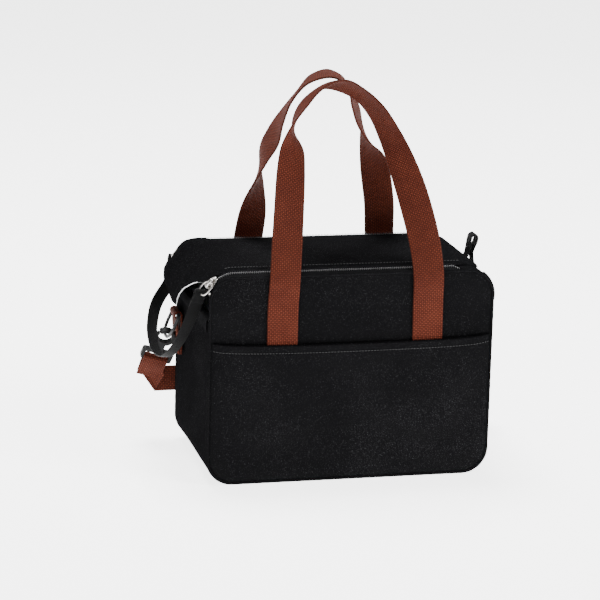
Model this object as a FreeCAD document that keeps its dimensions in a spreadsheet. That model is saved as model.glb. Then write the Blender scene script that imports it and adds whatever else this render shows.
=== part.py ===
import FreeCAD, Part
import Sketcher
import math
import os

# Insulated cooler bag: a soft box with a wrap-round gusset, a slip pocket, a hinged lid that closes
# with two parallel zips, two webbing handles, and a shoulder strap clipped to a ring on each side.
# Row frame: +X to the right end (where the lid is joined), +Y to the back, +Z up, millimetres,
# origin at the centre of the underside.

V = FreeCAD.Vector
doc = FreeCAD.newDocument("cooler_bag")

# Lengths in millimetres, turns in degrees. A size that follows from others is a formula of their names.
SIZES = {
    # The bag as a whole and its layers; rim_left and trough are the tops of the left end and of the foam.
    "width": 280, "depth": 160, "height": 205, "corner": 26,
    "cloth": 1.5, "foam": 5, "foil": 0.6, "piping": 3, "piping_sunk": 0.75, "foam_in": 0.2,
    "board": 2, "board_room": 3,
    "rim_drop": 45, "rim_left": "=height - rim_drop", "wall_drop": 31, "trough": "=height - wall_drop",
    # The lid: where it is joined, how high it stands over the bag's corner, and its tongue.
    "hinge_in": 28, "hinge_x": "=width / 2 - hinge_in", "hinge_gap": 1, "hinge_room": 1,
    "lid_rise": 4, "lid_in": 16, "lid_half": "=depth / 2 - lid_in", "lid_margin": 2,
    "tongue_turn": 66, "tongue_drop": 34, "tongue_cut": 20, "tongue_slope": 1.4, "facing_from": 6,
    "bind_wide": 1.2, "bind_gap": 0.1,
    # The slip pocket.
    "pocket_in": 5, "pocket_width": "=width - 2 * pocket_in", "pocket_drop": 67,
    "pocket_top": "=height - pocket_drop", "pocket_gap": 4.6, "pocket_edge": 4, "pocket_seat": 0.2,
    "hem": 9, "hem_in": 2, "hem_thick": 0.4,
    # The zips: how far from the bag's faces, their rows, and their ends.
    "zip_in": 9, "zip_y": "=depth / 2 - zip_in", "zip_rise": 1, "teeth": 3, "teeth_gap": 0.15,
    "teeth_thick": 1.2, "teeth_short": 1.5, "tape_thick": 0.8, "tape_past": 4, "tape_lap": 2,
    "stop_gap": 0.5, "stop_turn": 3, "stop_lap": 1, "zip_short": 12,
    "zip_travel": "=hinge_x + width / 2 - corner - zip_short", "zip_spare": 1,
    # The sliders, their rings and the ribbon that ties them.
    "slider_len": 12.5, "slider_wide": 9, "slider_plate": 1.4, "slider_slot": 3, "slider_tilt": 50,
    "slider_round": 2.5, "post_in": 1.5, "post_long": 3, "post_wide": 2,
    "bail_hole": 2, "bail_wire": 1.4, "bail_off": 1, "bail_lift": 0.2, "bail_sunk": 0.4,
    "ring_wide": 11, "ring_long": 13, "ring_wire": 1.62, "ring_round": 3,
    "ribbon_wide": 12, "ribbon_thick": 1.2, "ribbon_drop": 80, "ribbon_lean": 21, "ribbon_bend": 34,
    "ribbon_gap": 2.4,
    # The carrying handles; patch is the length of a sewn foot.
    "webbing": 30, "webbing_thick": 2.2, "handle_x": "=width / 4", "handle_above_pocket": 2.2,
    "handle_apex_wide": 16, "bend_rise": 5, "handle_bend": "=height + bend_rise", "handle_rise": 169,
    "handle_top": "=handle_bend + handle_rise", "handle_in": 3, "bend_gap": 2.6, "bend_room": 0.4,
    "leg_gap": 0.5, "foot_gap": 0.3, "patch": 26,
    # The side tabs and their D rings.
    "tab_wide": 25, "tab_thick": 1.8, "tab_in": 23, "tab_y": "=depth / 2 - tab_in", "tab_drop": 69,
    "tab_high": "=height - tab_drop", "tab_long": 40, "tab_low": "=tab_high - tab_long", "tab_hole": 2.4,
    "tab_lap": 0.3, "dring_room": 7, "dring_wide": "=tab_wide + dring_room", "dring_tall": 25,
    "dring_wire": 3.2, "dring_tilt": 24, "dring_round": 3, "dring_bow": 0.8,
    # The snap hooks: a ring with a mouth and a gate, a shank, and a slotted eye for the strap.
    "hook_hole": 6.5, "hook_bar": 3.5, "hook_thick": 6, "hook_shank": 9, "hook_lean": 28, "hook_out": 16,
    "hook_slack": 3.2, "mouth_from": 143, "mouth_to": 205, "gate_from": 154, "gate_to": 201, "gate_in": 0.6,
    "gate_side": 1, "shank_wide": 7, "shank_lap": 1.2,
    "eye_room": 7, "eye_wide": "=strap + eye_room", "eye_tall": 13, "eye_bar": 3.5, "eye_thick": 5,
    "eye_lap": 0.5, "eye_round": 2.5,
    # The shoulder strap behind the bag, at its shortest, and its three-bar slide.
    "strap": 25, "strap_thick": 1.6, "strap_gap": 6, "strap_hang": 78,
    "strap_side_z": "=tab_high - strap_hang", "strap_low_z": 24, "strap_fold": 12, "strap_open": 3.2,
    "strap_slack": 0.4, "level_in": 70, "strap_level": "=width / 2 - level_in", "slope_in": 15,
    "strap_slope": "=width / 2 - slope_in", "return_in": 4, "return_end": 10, "return_gap": 1.6,
    "glide_long": 30, "glide_rail": 3, "glide_room": 1, "glide_front": 0.8, "glide_bar": 1.8,
    "glide_end": 3.6, "glide_gap": 0.6, "glide_post": 3, "post_gap": 0.4,
    # The grab tab on the right end, and the ends that cover the zips.
    "grab_wide": 14, "grab_long": 21, "grab_in": 4, "grab_drop": 9, "grab_thick": 1.2, "grab_round": 3.2,
    "grab_foot": 6, "grab_foot_thick": 2.2,
    "patch_gap": 0.1, "patch_out": 2, "patch_near": 14, "patch_far": 3, "patch_top": 14, "patch_low": 32,
}

sheet = doc.addObject("Spreadsheet::Sheet", "Sizes")
for row, (alias, number) in enumerate(SIZES.items(), start=1):
    sheet.set(f"A{row}", alias)
    sheet.set(f"B{row}", str(number))
    sheet.setAlias(f"B{row}", alias)
doc.recompute()


def size(alias):
    """A driving size, read back from the sheet."""
    return float(sheet.get(alias))


HALF_W, HALF_D = size("width") / 2, size("depth") / 2
CORNER_X = HALF_W - size("corner")
CORNER_Z = size("height") - size("corner")
PROUD_Y = HALF_D + (1 - size("piping_sunk")) * size("piping")  # the outermost line of the piping
PAST = 10  # how far a cutting shape runs past what it cuts
nodes = []


# ---------------------------------------------------------------- how a sub-part is put in the document

def keep(obj, label):
    """Name a finished document object, so that it is written as that node."""
    obj.Label = label
    nodes.append(obj)
    return obj


def feature(label, shape, placement=None):
    """A sub-part whose shape is worked out here from the sheet's sizes."""
    obj = doc.addObject("Part::Feature", label)
    obj.Shape = shape
    if placement is not None:
        obj.Placement = placement.multiply(shape.Placement)
    return keep(obj, label)


def box(x, y, z):
    """A box from three (low, high) pairs."""
    return Part.makeBox(x[1] - x[0], y[1] - y[0], z[1] - z[0], V(x[0], y[0], z[0]))


# ------------------------------------------------------------------------ rounded slabs across the bag

def rounded_sketch(body, name, inset, y_back):
    """The bag's rounded outline in the XZ plane, moved in by an inset, with every size bound to the sheet."""
    plane = next(f for f in body.Origin.OriginFeatures if f.Role == "XZ_Plane")
    sk = body.newObject("Sketcher::SketchObject", name)
    sk.AttachmentSupport = [(plane, "")]
    sk.MapMode = "FlatFace"
    sk.setExpression("AttachmentOffset.Base.z", f"-({y_back})")
    low = size("corner") / 2  # the outline is first drawn this far in, then its sizes are bound
    half, top, r = HALF_W - low, size("height") - low, size("corner") - low
    lines = [(V(-half + r, top), V(half - r, top)), (V(half, top - r), V(half, low + r)),
             (V(half - r, low), V(-half + r, low)), (V(-half, low + r), V(-half, top - r))]
    for a, b in lines:
        sk.addGeometry(Part.LineSegment(a, b), False)
    centres = [(half - r, top - r, 0), (half - r, low + r, 270), (-half + r, low + r, 180),
               (-half + r, top - r, 90)]
    for cx, cz, turn in centres:
        circle = Part.Circle(V(cx, cz), V(0, 0, 1), r)
        sk.addGeometry(Part.ArcOfCircle(circle, math.radians(turn), math.radians(turn + 90)), False)
    C = Sketcher.Constraint
    for line, arc, line_end, arc_end in ((0, 4, 2, 2), (1, 4, 1, 1), (1, 5, 2, 2), (2, 5, 1, 1),
                                         (2, 6, 2, 2), (3, 6, 1, 1), (3, 7, 2, 2), (0, 7, 1, 1)):
        sk.addConstraint(C("Tangent", line, line_end, arc, arc_end))
    for kind, geo in (("Horizontal", 0), ("Horizontal", 2), ("Vertical", 1), ("Vertical", 3)):
        sk.addConstraint(C(kind, geo))
    for other in (5, 6, 7):
        sk.addConstraint(C("Equal", 4, other))
    named = [("radius", C("Radius", 4, r), f"Sizes.corner - ({inset})"),
             ("across", C("DistanceX", 3, 1, 1, 1, 2 * half), f"Sizes.width - 2 * ({inset})"),
             ("left", C("DistanceX", 3, 1, -1, 1, half), f"Sizes.width / 2 - ({inset})"),
             ("tall", C("DistanceY", 2, 1, 0, 1, top - low), f"Sizes.height - 2 * ({inset})"),
             ("low", C("DistanceY", -1, 1, 2, 1, low), f"{inset}")]
    for alias, constraint, formula in named:
        at = sk.addConstraint(constraint)
        sk.renameConstraint(at, alias)
        sk.setExpression(f"Constraints.{alias}", formula)
    return sk


def slab(label, inset, y_front, y_back):
    """A rounded slab between two planes across the bag."""
    body = doc.addObject("PartDesign::Body", label)
    pad = body.newObject("PartDesign::Pad", label + "_pad")
    pad.Profile = rounded_sketch(body, label + "_outline", inset, y_back)
    pad.setExpression("Length", f"({y_back}) - ({y_front})")
    doc.recompute()
    return body


def hollow(body, inset, y_front, y_back):
    """Cut the inner outline out of a slab, which leaves a band that runs round the bag."""
    before = body.Shape.Volume
    cut = body.newObject("PartDesign::Pocket", body.Label + "_inside")
    cut.Profile = rounded_sketch(body, body.Label + "_inner", inset, y_back)
    cut.Type = 0
    cut.setExpression("Length", f"({y_back}) - ({y_front})")
    cut.Reversed = True
    doc.recompute()
    assert body.Shape.Volume < before - 1, body.Label + " was not hollowed"
    return body


def open_top(body, label, low, x_right):
    """Take the mouth of the bag out of a slab or a band, as a boolean with the band kept as its base."""
    mouth = doc.addObject("Part::Box", label + "_mouth")
    mouth.setExpression("Length", f"Sizes.width / 2 + {PAST} + ({x_right})")
    mouth.setExpression("Width", f"Sizes.depth + {2 * PAST}")
    mouth.setExpression("Height", "Sizes.height")
    mouth.setExpression("Placement.Base.x", f"-Sizes.width / 2 - {PAST}")
    mouth.setExpression("Placement.Base.y", f"-Sizes.depth / 2 - {PAST}")
    mouth.setExpression("Placement.Base.z", low)
    cut = doc.addObject("Part::Cut", label + "_cut")
    cut.Base, cut.Tool = body, mouth
    return keep(cut, label)


PANEL_IN = "Sizes.depth / 2 - Sizes.cloth"
FOAM_IN = f"{PANEL_IN} - Sizes.foam"
FOIL_IN = f"{FOAM_IN} - Sizes.foil"
SIDE_IN = "Sizes.depth / 2 - Sizes.piping * Sizes.piping_sunk"


def make_walls():
    """Front and back panels, each with its foam and its foil; then the band of each that wraps round."""
    for side, sign in (("front", -1), ("back", 1)):
        for name, outer, inner, inset in (("panel", "Sizes.depth / 2", PANEL_IN, "Sizes.piping"),
                                          ("foam", PANEL_IN, FOAM_IN, "Sizes.piping + Sizes.foam_in"),
                                          ("lining", FOAM_IN, FOIL_IN, "Sizes.cloth + Sizes.foam")):
            near, far = (f"-({outer})", f"-({inner})") if sign < 0 else (inner, outer)
            body = slab(f"{side}_{name}" + ("" if name == "panel" else "_sheet"), inset, near, far)
            if name == "panel":
                keep(body, f"{side}_panel")
            else:
                open_top(body, f"{side}_{name}", "Sizes.trough", f"Sizes.width / 2 + {PAST}")
    for name, half, outer, inner in (("gusset", SIDE_IN, "0", "Sizes.cloth"),
                                     ("wrap_foam", FOAM_IN, "Sizes.cloth", "Sizes.cloth + Sizes.foam"),
                                     ("wrap_lining", FOIL_IN, "Sizes.cloth + Sizes.foam",
                                      "Sizes.cloth + Sizes.foam + Sizes.foil")):
        band = hollow(slab(name + "_band", outer, f"-({half})", half), inner, f"-({half})", half)
        open_top(band, name, "Sizes.rim_left", "Sizes.hinge_x")


def make_base_board():
    """A stiff board that lies on the lining and keeps the floor of the bag flat."""
    board = doc.addObject("Part::Box", "base_board")
    inset = "(Sizes.cloth + Sizes.foam + Sizes.foil)"
    board.setExpression("Length", "Sizes.width - 2 * Sizes.corner")
    board.setExpression("Width", f"Sizes.depth - 2 * ({inset} + Sizes.board_room)")
    board.setExpression("Height", "Sizes.board")
    board.setExpression("Placement.Base.x", "-Sizes.width / 2 + Sizes.corner")
    board.setExpression("Placement.Base.y", f"-Sizes.depth / 2 + {inset} + Sizes.board_room")
    board.setExpression("Placement.Base.z", inset)
    keep(board, "base_board")


def rounded_loop(half_x, low, high, radius):
    """A closed rounded rectangle of lines and arcs in the XZ plane at Y = 0."""
    s = radius * math.sin(math.pi / 4)
    edges = []
    corners = [(half_x, high, 1, 1), (half_x, low, 1, -1), (-half_x, low, -1, -1), (-half_x, high, -1, 1)]
    joints = []
    for x, z, sx, sz in corners:
        cx, cz = x - sx * radius, z - sz * radius
        ends = [V(cx, 0, z), V(x, 0, cz)] if sx * sz > 0 else [V(x, 0, cz), V(cx, 0, z)]
        joints.append((ends[0], V(cx + sx * s, 0, cz + sz * s), ends[1]))
    for i, (start, middle, end) in enumerate(joints):
        edges.append(Part.Arc(start, middle, end).toShape())
        edges.append(Part.LineSegment(end, joints[(i + 1) % 4][0]).toShape())
    return Part.Wire(edges)


def tube_round(wire, radius):
    """A round tube along a planar wire of lines and arcs: a bar for each line, a bend for each arc."""
    runs = []
    for edge in wire.OrderedEdges:
        start, along = edge.valueAt(edge.FirstParameter), edge.tangentAt(edge.FirstParameter)
        section = Part.Wire(Part.makeCircle(radius, start, along))
        runs.append(Part.Wire(edge).makePipeShell([section], True, False))
    return runs[0].fuse(runs[1:]).removeSplitter()


def make_piping():
    """Corded piping sewn into the seam between each panel and the gusset."""
    r = size("piping") / 2
    for side, sign in (("front", -1), ("back", 1)):
        loop = rounded_loop(HALF_W - r, r, size("height") - r, size("corner") - r)
        loop.translate(V(0, sign * (PROUD_Y - r), 0))
        feature(f"{side}_piping", tube_round(loop, r))


def round_foot(block, half, low, radius):
    """Round the two lower corners of a block, as seen from the front."""
    corners = [e for e in block.Edges
               if abs(e.CenterOfMass.z - low) < 0.01 and abs(abs(e.CenterOfMass.x) - half) < 0.01]
    return block.makeFillet(radius, corners)


def make_pocket():
    """A slip pocket: one sheet sewn to the front along its sides and its foot, open at its top, and its hem."""
    half, edge = size("pocket_width") / 2, size("pocket_edge")
    back = -HALF_D - size("pocket_seat")
    inner = back - size("pocket_gap")
    front = inner - size("cloth")
    outer = box((-half, half), (front, back), (edge, size("pocket_top")))
    outer = round_foot(outer, half, edge, size("corner") - edge)
    wall = size("cloth")
    slot = box((-half + wall, half - wall), (inner, back + PAST), (edge + wall, size("pocket_top") + PAST))
    slot = round_foot(slot, half - wall, edge + wall, size("corner") - edge - wall)
    feature("front_pocket", outer.cut(slot))
    hem_z = (size("pocket_top") - size("hem"), size("pocket_top"))
    hem_half = half - size("hem_in")
    feature("pocket_hem", box((-hem_half, hem_half), (inner, inner + size("hem_thick")), hem_z))


# --------------------------------------------------------------------- bands along the top and its left corner

def corner_band(x_right, r_low, r_high, turn_from, turn_to, y_low, y_high):
    """A band at two radii round the top left corner. With x_right it has a straight part on the top too."""
    def at(radius, turn):
        a = math.radians(turn)
        return V(CORNER_X * -1 - radius * math.sin(a), y_low, CORNER_Z + radius * math.cos(a))

    mid = (turn_from + turn_to) / 2
    edges = [Part.Arc(at(r_low, turn_from), at(r_low, mid), at(r_low, turn_to)).toShape(),
             Part.LineSegment(at(r_low, turn_to), at(r_high, turn_to)).toShape(),
             Part.Arc(at(r_high, turn_to), at(r_high, mid), at(r_high, turn_from)).toShape()]
    if x_right is None:
        edges.append(Part.LineSegment(at(r_high, turn_from), at(r_low, turn_from)).toShape())
    else:
        high, low = V(x_right, y_low, CORNER_Z + r_high), V(x_right, y_low, CORNER_Z + r_low)
        edges += [Part.LineSegment(at(r_high, 0), high).toShape(), Part.LineSegment(high, low).toShape(),
                  Part.LineSegment(low, at(r_low, 0)).toShape()]
    return Part.Face(Part.Wire(Part.__sortEdges__(edges))).extrude(V(0, y_high - y_low, 0))


ZIP_R = size("corner") + size("zip_rise")
PLATE = (size("slider_slot") / 2, size("slider_slot") / 2 + size("slider_plate"))
SLIDER_HALF_TURN = math.degrees(size("slider_len") / 2 / ZIP_R)
ZIP_END_X = -CORNER_X + size("zip_travel") + size("slider_len") / 2 + size("zip_spare")


def mirrored(y_low, y_high, sign):
    """The same stretch of Y at the front (-1) or at the back (1)."""
    return (-y_high, -y_low) if sign < 0 else (y_low, y_high)


def make_zips():
    """Two zips: a tape and a row of teeth on the bag, the same on the lid, and a stop at each end."""
    tape_r = (ZIP_R - size("tape_thick") / 2, ZIP_R + size("tape_thick") / 2)
    teeth_r = (ZIP_R - size("teeth_thick") / 2, ZIP_R + size("teeth_thick") / 2)
    y, gap, row = size("zip_y"), size("teeth_gap"), size("teeth_gap") + size("teeth") / 2
    panel_y, lid_y = HALF_D - size("cloth"), size("lid_half") - size("tape_lap")
    tape_turn = size("slider_tilt") + SLIDER_HALF_TURN + size("tape_past")
    teeth_turn = size("slider_tilt") - SLIDER_HALF_TURN - size("teeth_short")
    stop = tape_turn + size("stop_gap")
    for side, sign in (("front", -1), ("back", 1)):
        for name, radii, turn, reach in (("bag_tape", tape_r, tape_turn, (y + row, panel_y)),
                                         ("lid_tape", tape_r, teeth_turn, (lid_y, y - row)),
                                         ("bag_teeth", teeth_r, teeth_turn, (y + gap, y + row)),
                                         ("lid_teeth", teeth_r, teeth_turn, (y - row, y - gap))):
            feature(f"{side}_{name}", corner_band(ZIP_END_X, *radii, 0, turn, *mirrored(*reach, sign)))
        feature(f"{side}_zip_stop", corner_band(None, *teeth_r, stop, stop + size("stop_turn"),
                                                *mirrored(y - size("stop_lap"), panel_y, sign)))


def turned_to_corner(angle):
    """The turn that brings a thing from flat on the top to its place round the top left corner."""
    return FreeCAD.Placement(V(0, 0, 0), FreeCAD.Rotation(V(0, 1, 0), -angle), V(-CORNER_X, 0, CORNER_Z))


def slider_shape(y):
    """A slider over the two rows of teeth: two plates, the post that parts the rows, and the ring's arch."""
    x, half = -CORNER_X, size("slider_len") / 2
    z = CORNER_Z + ZIP_R
    wide = size("slider_wide") / 2
    plates = []
    for low, high in (PLATE, (-PLATE[1], -PLATE[0])):
        plate = box((x - half, x + half), (y - wide, y + wide), (z + low, z + high))
        upright = [e for e in plate.Edges if abs(e.Vertexes[0].Z - e.Vertexes[-1].Z) > size("slider_plate") / 2]
        plates.append(plate.makeFillet(size("slider_round"), upright))
    post_x, post_half = x - half + size("post_in"), size("post_wide") / 2
    post = box((post_x, post_x + size("post_long")), (y - post_half, y + post_half),
               (z - PLATE[0], z + PLATE[0]))
    wire = size("bail_wire") / 2
    foot_z = z + PLATE[1] + size("bail_lift")
    arch = Part.makeTorus(size("bail_hole") + wire, wire, V(x - size("bail_off"), y, foot_z), V(0, 1, 0))
    arch = arch.common(box((x - PAST, x + PAST), (y - PAST, y + PAST),
                           (z + PLATE[1] - size("bail_sunk"), foot_z + PAST)))
    return plates[0].fuse([plates[1], post, arch]).removeSplitter()


def make_sliders():
    """The two sliders, each with its ring through the arch, turned down to the left corner. Gives the
    middle of a ring's bar before that turn."""
    half_wide, long = size("ring_wide") / 2, size("ring_long")
    bar_x = -CORNER_X - size("bail_off")
    bar_z = CORNER_Z + ZIP_R + PLATE[1] + size("bail_hole") / 2 + size("bail_lift") / 2
    for side, sign in (("front", -1), ("back", 1)):
        y = sign * size("zip_y")
        feature(f"{side}_slider", slider_shape(y), turned_to_corner(size("slider_tilt")))
        ring = tube_round(rounded_loop(half_wide, 0, long, size("ring_round")), size("ring_wire") / 2)
        ring.rotate(V(0, 0, 0), V(0, 0, 1), 90)
        ring.rotate(V(0, 0, 0), V(0, 1, 0), -90)
        ring.translate(V(bar_x, y, bar_z))
        feature(f"{side}_ring", ring, turned_to_corner(size("slider_tilt")))
    return bar_x, bar_z


def ribbon_shape():
    """A flat ribbon that hangs in a U from the front ring to the back ring, which lie at Z = 0."""
    y, drop, thick = size("zip_y"), size("ribbon_drop"), size("ribbon_thick")

    def outline(out):
        """The U, moved outwards by out."""
        r = size("ribbon_bend") + out
        yo = y + out
        low = -drop - out
        s = r * math.sin(math.pi / 4)
        c = V(0, yo - r, low + r)
        return [V(0, -yo, 0), V(0, -yo, low + r), V(0, -c.y - s, c.z - s), V(0, -c.y, low),
                V(0, c.y, low), V(0, c.y + s, c.z - s), V(0, yo, low + r), V(0, yo, 0)]

    o, i = outline(thick / 2), outline(-thick / 2)
    edges = []
    for p in (o, i):
        edges += [Part.LineSegment(p[0], p[1]).toShape(), Part.Arc(p[1], p[2], p[3]).toShape(),
                  Part.LineSegment(p[3], p[4]).toShape(), Part.Arc(p[4], p[5], p[6]).toShape(),
                  Part.LineSegment(p[6], p[7]).toShape()]
    edges += [Part.LineSegment(o[0], i[0]).toShape(), Part.LineSegment(o[7], i[7]).toShape()]
    flat = Part.Face(Part.Wire(Part.__sortEdges__(edges)))
    wide = size("ribbon_wide")
    band = flat.extrude(V(wide, 0, 0))
    band.translate(V(-wide / 2, 0, 0))
    return band


def make_ribbon(bar_x, bar_z):
    """The ribbon pull that ties the two rings together and hangs down past the left end."""
    place = turned_to_corner(size("slider_tilt"))
    end = place.multVec(V(bar_x - size("ring_long") - size("ribbon_gap"), 0, bar_z))
    lean = FreeCAD.Rotation(V(0, 1, 0), size("ribbon_lean"))
    feature("pull_ribbon", ribbon_shape(), FreeCAD.Placement(end, lean))


# ------------------------------------------------------------------------------------------------- lid

def tongue_band(r_low, r_high, y_half, cut):
    """The lid's free end: straight on from the corner bend, with both its corners cut away."""
    a = math.radians(size("tongue_turn"))
    along = V(-math.cos(a), 0, -math.sin(a))
    out = V(-math.sin(a), 0, math.cos(a))
    centre = V(-CORNER_X, 0, CORNER_Z)
    drop = size("tongue_drop")
    tip = y_half - cut * size("tongue_slope")
    outline = [(0, -y_half), (drop - cut, -y_half), (drop, -tip),
               (drop, tip), (drop - cut, y_half), (0, y_half)]
    points = [centre + out * r_low + along * u + V(0, v, 0) for u, v in outline]
    return Part.Face(Part.makePolygon(points + [points[0]])).extrude(out * (r_high - r_low))


def lid_sheet(r_low, r_high, y_half, x_right):
    """One layer of the lid: flat on top, bent round the left corner, then the tongue."""
    top = corner_band(x_right, r_low, r_high, 0, size("tongue_turn"), -y_half, y_half)
    return top.fuse(tongue_band(r_low, r_high, y_half, size("tongue_cut"))).removeSplitter()


def make_lid():
    """The lid: cloth on top, foam and foil below its flat part, a foil facing and edge on its tongue."""
    r_out = size("corner") + size("lid_rise")
    r_in = r_out - size("cloth")
    half = size("lid_half")
    x_right = size("hinge_x") - size("hinge_gap")
    feature("lid_cover", lid_sheet(r_in, r_out, half, x_right))
    z_in = CORNER_Z + r_in
    inner = half - size("lid_margin")
    foam_x = (-CORNER_X, x_right - size("foam") - size("hinge_room"))
    feature("lid_foam", box(foam_x, (-inner, inner), (z_in - size("foam"), z_in)))
    foil_z = z_in - size("foam")
    feature("lid_lining", box(foam_x, (-inner, inner), (foil_z - size("foil"), foil_z)))
    turn = size("tongue_turn")
    facing = corner_band(None, r_in - size("foil"), r_in, size("facing_from"), turn, -inner, inner)
    tip = tongue_band(r_in - size("foil"), r_in, inner, size("tongue_cut"))
    feature("tongue_facing", facing.fuse(tip).removeSplitter())
    a, wide = math.radians(turn), size("bind_wide")
    tip_middle = V(-CORNER_X - math.sin(a) * r_in, 0, CORNER_Z + math.cos(a) * r_in)
    reach = size("tongue_drop") + size("bind_gap") + wide
    edge_half = half - size("tongue_cut") * size("tongue_slope")
    edge = box((0, wide), (-edge_half, edge_half), (0, size("cloth")))
    edge.rotate(V(0, 0, 0), V(0, 1, 0), -turn)
    edge.translate(tip_middle + V(-math.cos(a), 0, -math.sin(a)) * reach)
    feature("tongue_edge", edge)


# --------------------------------------------------------------------------------------------- handles

# Points on the outer and the inner line of half the arch, from its foot: a share of the way to the middle,
# and a share of the way up.
ARCH_OUTER = ((0, 0), (0.024, 0.3), (0.28, 0.65), (0.65, 0.94))
ARCH_INNER = ((0, 0), (0.145, 0.32), (0.236, 0.6), (0.542, 0.86))


def arch_shape():
    """A handle above its bend, drawn flat in XZ with its foot at Z = 0: two legs that narrow into a crown.
    Gives the solid and how far it leans in over the lid."""
    rise = size("handle_top") - size("handle_bend")
    lean = math.atan2(HALF_D - size("handle_in"), rise)
    tall = rise / math.cos(lean)
    x, half = size("handle_x"), size("webbing") / 2
    low, crown = size("bend_gap"), tall - size("handle_apex_wide")
    edges = []
    for side, shares, top in ((-half, ARCH_OUTER, tall), (half, ARCH_INNER, crown)):
        reach = x - side
        curve = [V(-reach * (1 - across), 0, max(low, tall * up)) for across, up in shares] + [V(0, 0, top)]
        spline = Part.BSplineCurve()
        spline.interpolate(curve + [V(-p.x, 0, p.z) for p in reversed(curve[:-1])])
        edges.append(spline.toShape())
    for sign in (-1, 1):
        edges.append(Part.LineSegment(V(sign * (x + half), 0, low), V(sign * (x - half), 0, low)).toShape())
    flat = Part.Face(Part.Wire(Part.__sortEdges__(edges)))
    thick = size("webbing_thick")
    solid = flat.extrude(V(0, thick, 0))
    solid.translate(V(0, -thick / 2, 0))
    return solid, math.degrees(lean)


def make_handles():
    """Front and back handles: two sewn feet, two legs up the panel, and the arch that leans in."""
    x, half, thick = size("handle_x"), size("webbing") / 2, size("webbing_thick")
    leg_y = PROUD_Y + size("leg_gap")
    foot_z = size("pocket_top") + size("handle_above_pocket")
    arch, lean = arch_shape()
    for side, sign in (("front", -1), ("back", 1)):
        legs = [box((sx * x - half, sx * x + half), mirrored(leg_y, leg_y + thick, sign),
                    (foot_z + size("foot_gap"), size("handle_bend") - size("bend_room"))) for sx in (-1, 1)]
        feature(f"{side}_handle_legs", Part.makeCompound(legs))
        turn = FreeCAD.Rotation(V(1, 0, 0), sign * lean)
        feature(f"{side}_handle_arch", arch.copy(),
                FreeCAD.Placement(V(0, sign * (leg_y + thick / 2), size("handle_bend")), turn))
        feet = [box((sx * x - half, sx * x + half), mirrored(HALF_D, HALF_D + thick, sign),
                    (foot_z - size("patch"), foot_z)) for sx in (-1, 1)]
        feature(f"{side}_handle_feet", Part.makeCompound(feet))


# ------------------------------------------------------------------------------ rings, hooks and shoulder strap

def tab_shape():
    """A webbing tab folded over the ring's bar, on the left side; Y is along the ring's bar."""
    thick, half = size("tab_thick"), size("tab_wide") / 2
    x = -HALF_W
    hole, outer = size("tab_hole"), size("tab_hole") + thick
    centre = V(x - outer, -half, size("tab_high"))
    loop = Part.makeCylinder(outer, 2 * half, centre, V(0, 1, 0))
    loop = loop.cut(Part.makeCylinder(hole, 2 * half, centre, V(0, 1, 0)))
    inner = box((x - thick, x), (-half, half), (size("tab_low"), size("tab_high")))
    fold_z = size("tab_high") - outer + size("tab_lap")
    front = box((x - 2 * thick, x - thick), (-half, half), (size("tab_low"), fold_z))
    return loop.fuse([inner, front]).removeSplitter()


def dring_shape():
    """A D-shaped wire ring: a straight bar along Y at the origin, and a bow that hangs below it."""
    half, tall, r = size("dring_wide") / 2, size("dring_tall"), size("dring_wire") / 2
    bow, top_r = half * size("dring_bow"), size("dring_round")
    s = math.sin(math.pi / 4)
    p = [V(0, -half + top_r, 0), V(0, -half + top_r * (1 - s), -top_r * (1 - s)), V(0, -half, -top_r),
         V(0, -half, -tall + bow), V(0, -half + bow * (1 - s), -tall + bow * (1 - s)), V(0, -half + bow, -tall)]
    q = [V(0, -v.y, v.z) for v in p]
    edges = [Part.Arc(p[0], p[1], p[2]).toShape(), Part.LineSegment(p[2], p[3]).toShape(),
             Part.Arc(p[3], p[4], p[5]).toShape(), Part.LineSegment(p[5], q[5]).toShape(),
             Part.Arc(q[5], q[4], q[3]).toShape(), Part.LineSegment(q[3], q[2]).toShape(),
             Part.Arc(q[2], q[1], q[0]).toShape(), Part.LineSegment(q[0], p[0]).toShape()]
    return tube_round(Part.Wire(edges), r)


def wedge(turn_from, turn_to, reach, half_thick):
    """A wedge from the origin between two turns in the XZ plane, even about Y = 0."""
    points = [V(reach * math.cos(math.radians(turn)), 0, reach * math.sin(math.radians(turn)))
              for turn in (turn_from, turn_to)]
    solid = Part.Face(Part.makePolygon([V(0, 0, 0), *points, V(0, 0, 0)])).extrude(V(0, 2 * half_thick, 0))
    solid.translate(V(0, -half_thick, 0))
    return solid


def washer(hole, rim, half_thick):
    """A flat ring round the origin, even about Y = 0."""
    outer, inner = (Part.makeCylinder(r, 2 * half_thick, V(0, -half_thick, 0), V(0, 1, 0)) for r in (rim, hole))
    return outer.cut(inner)


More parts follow.
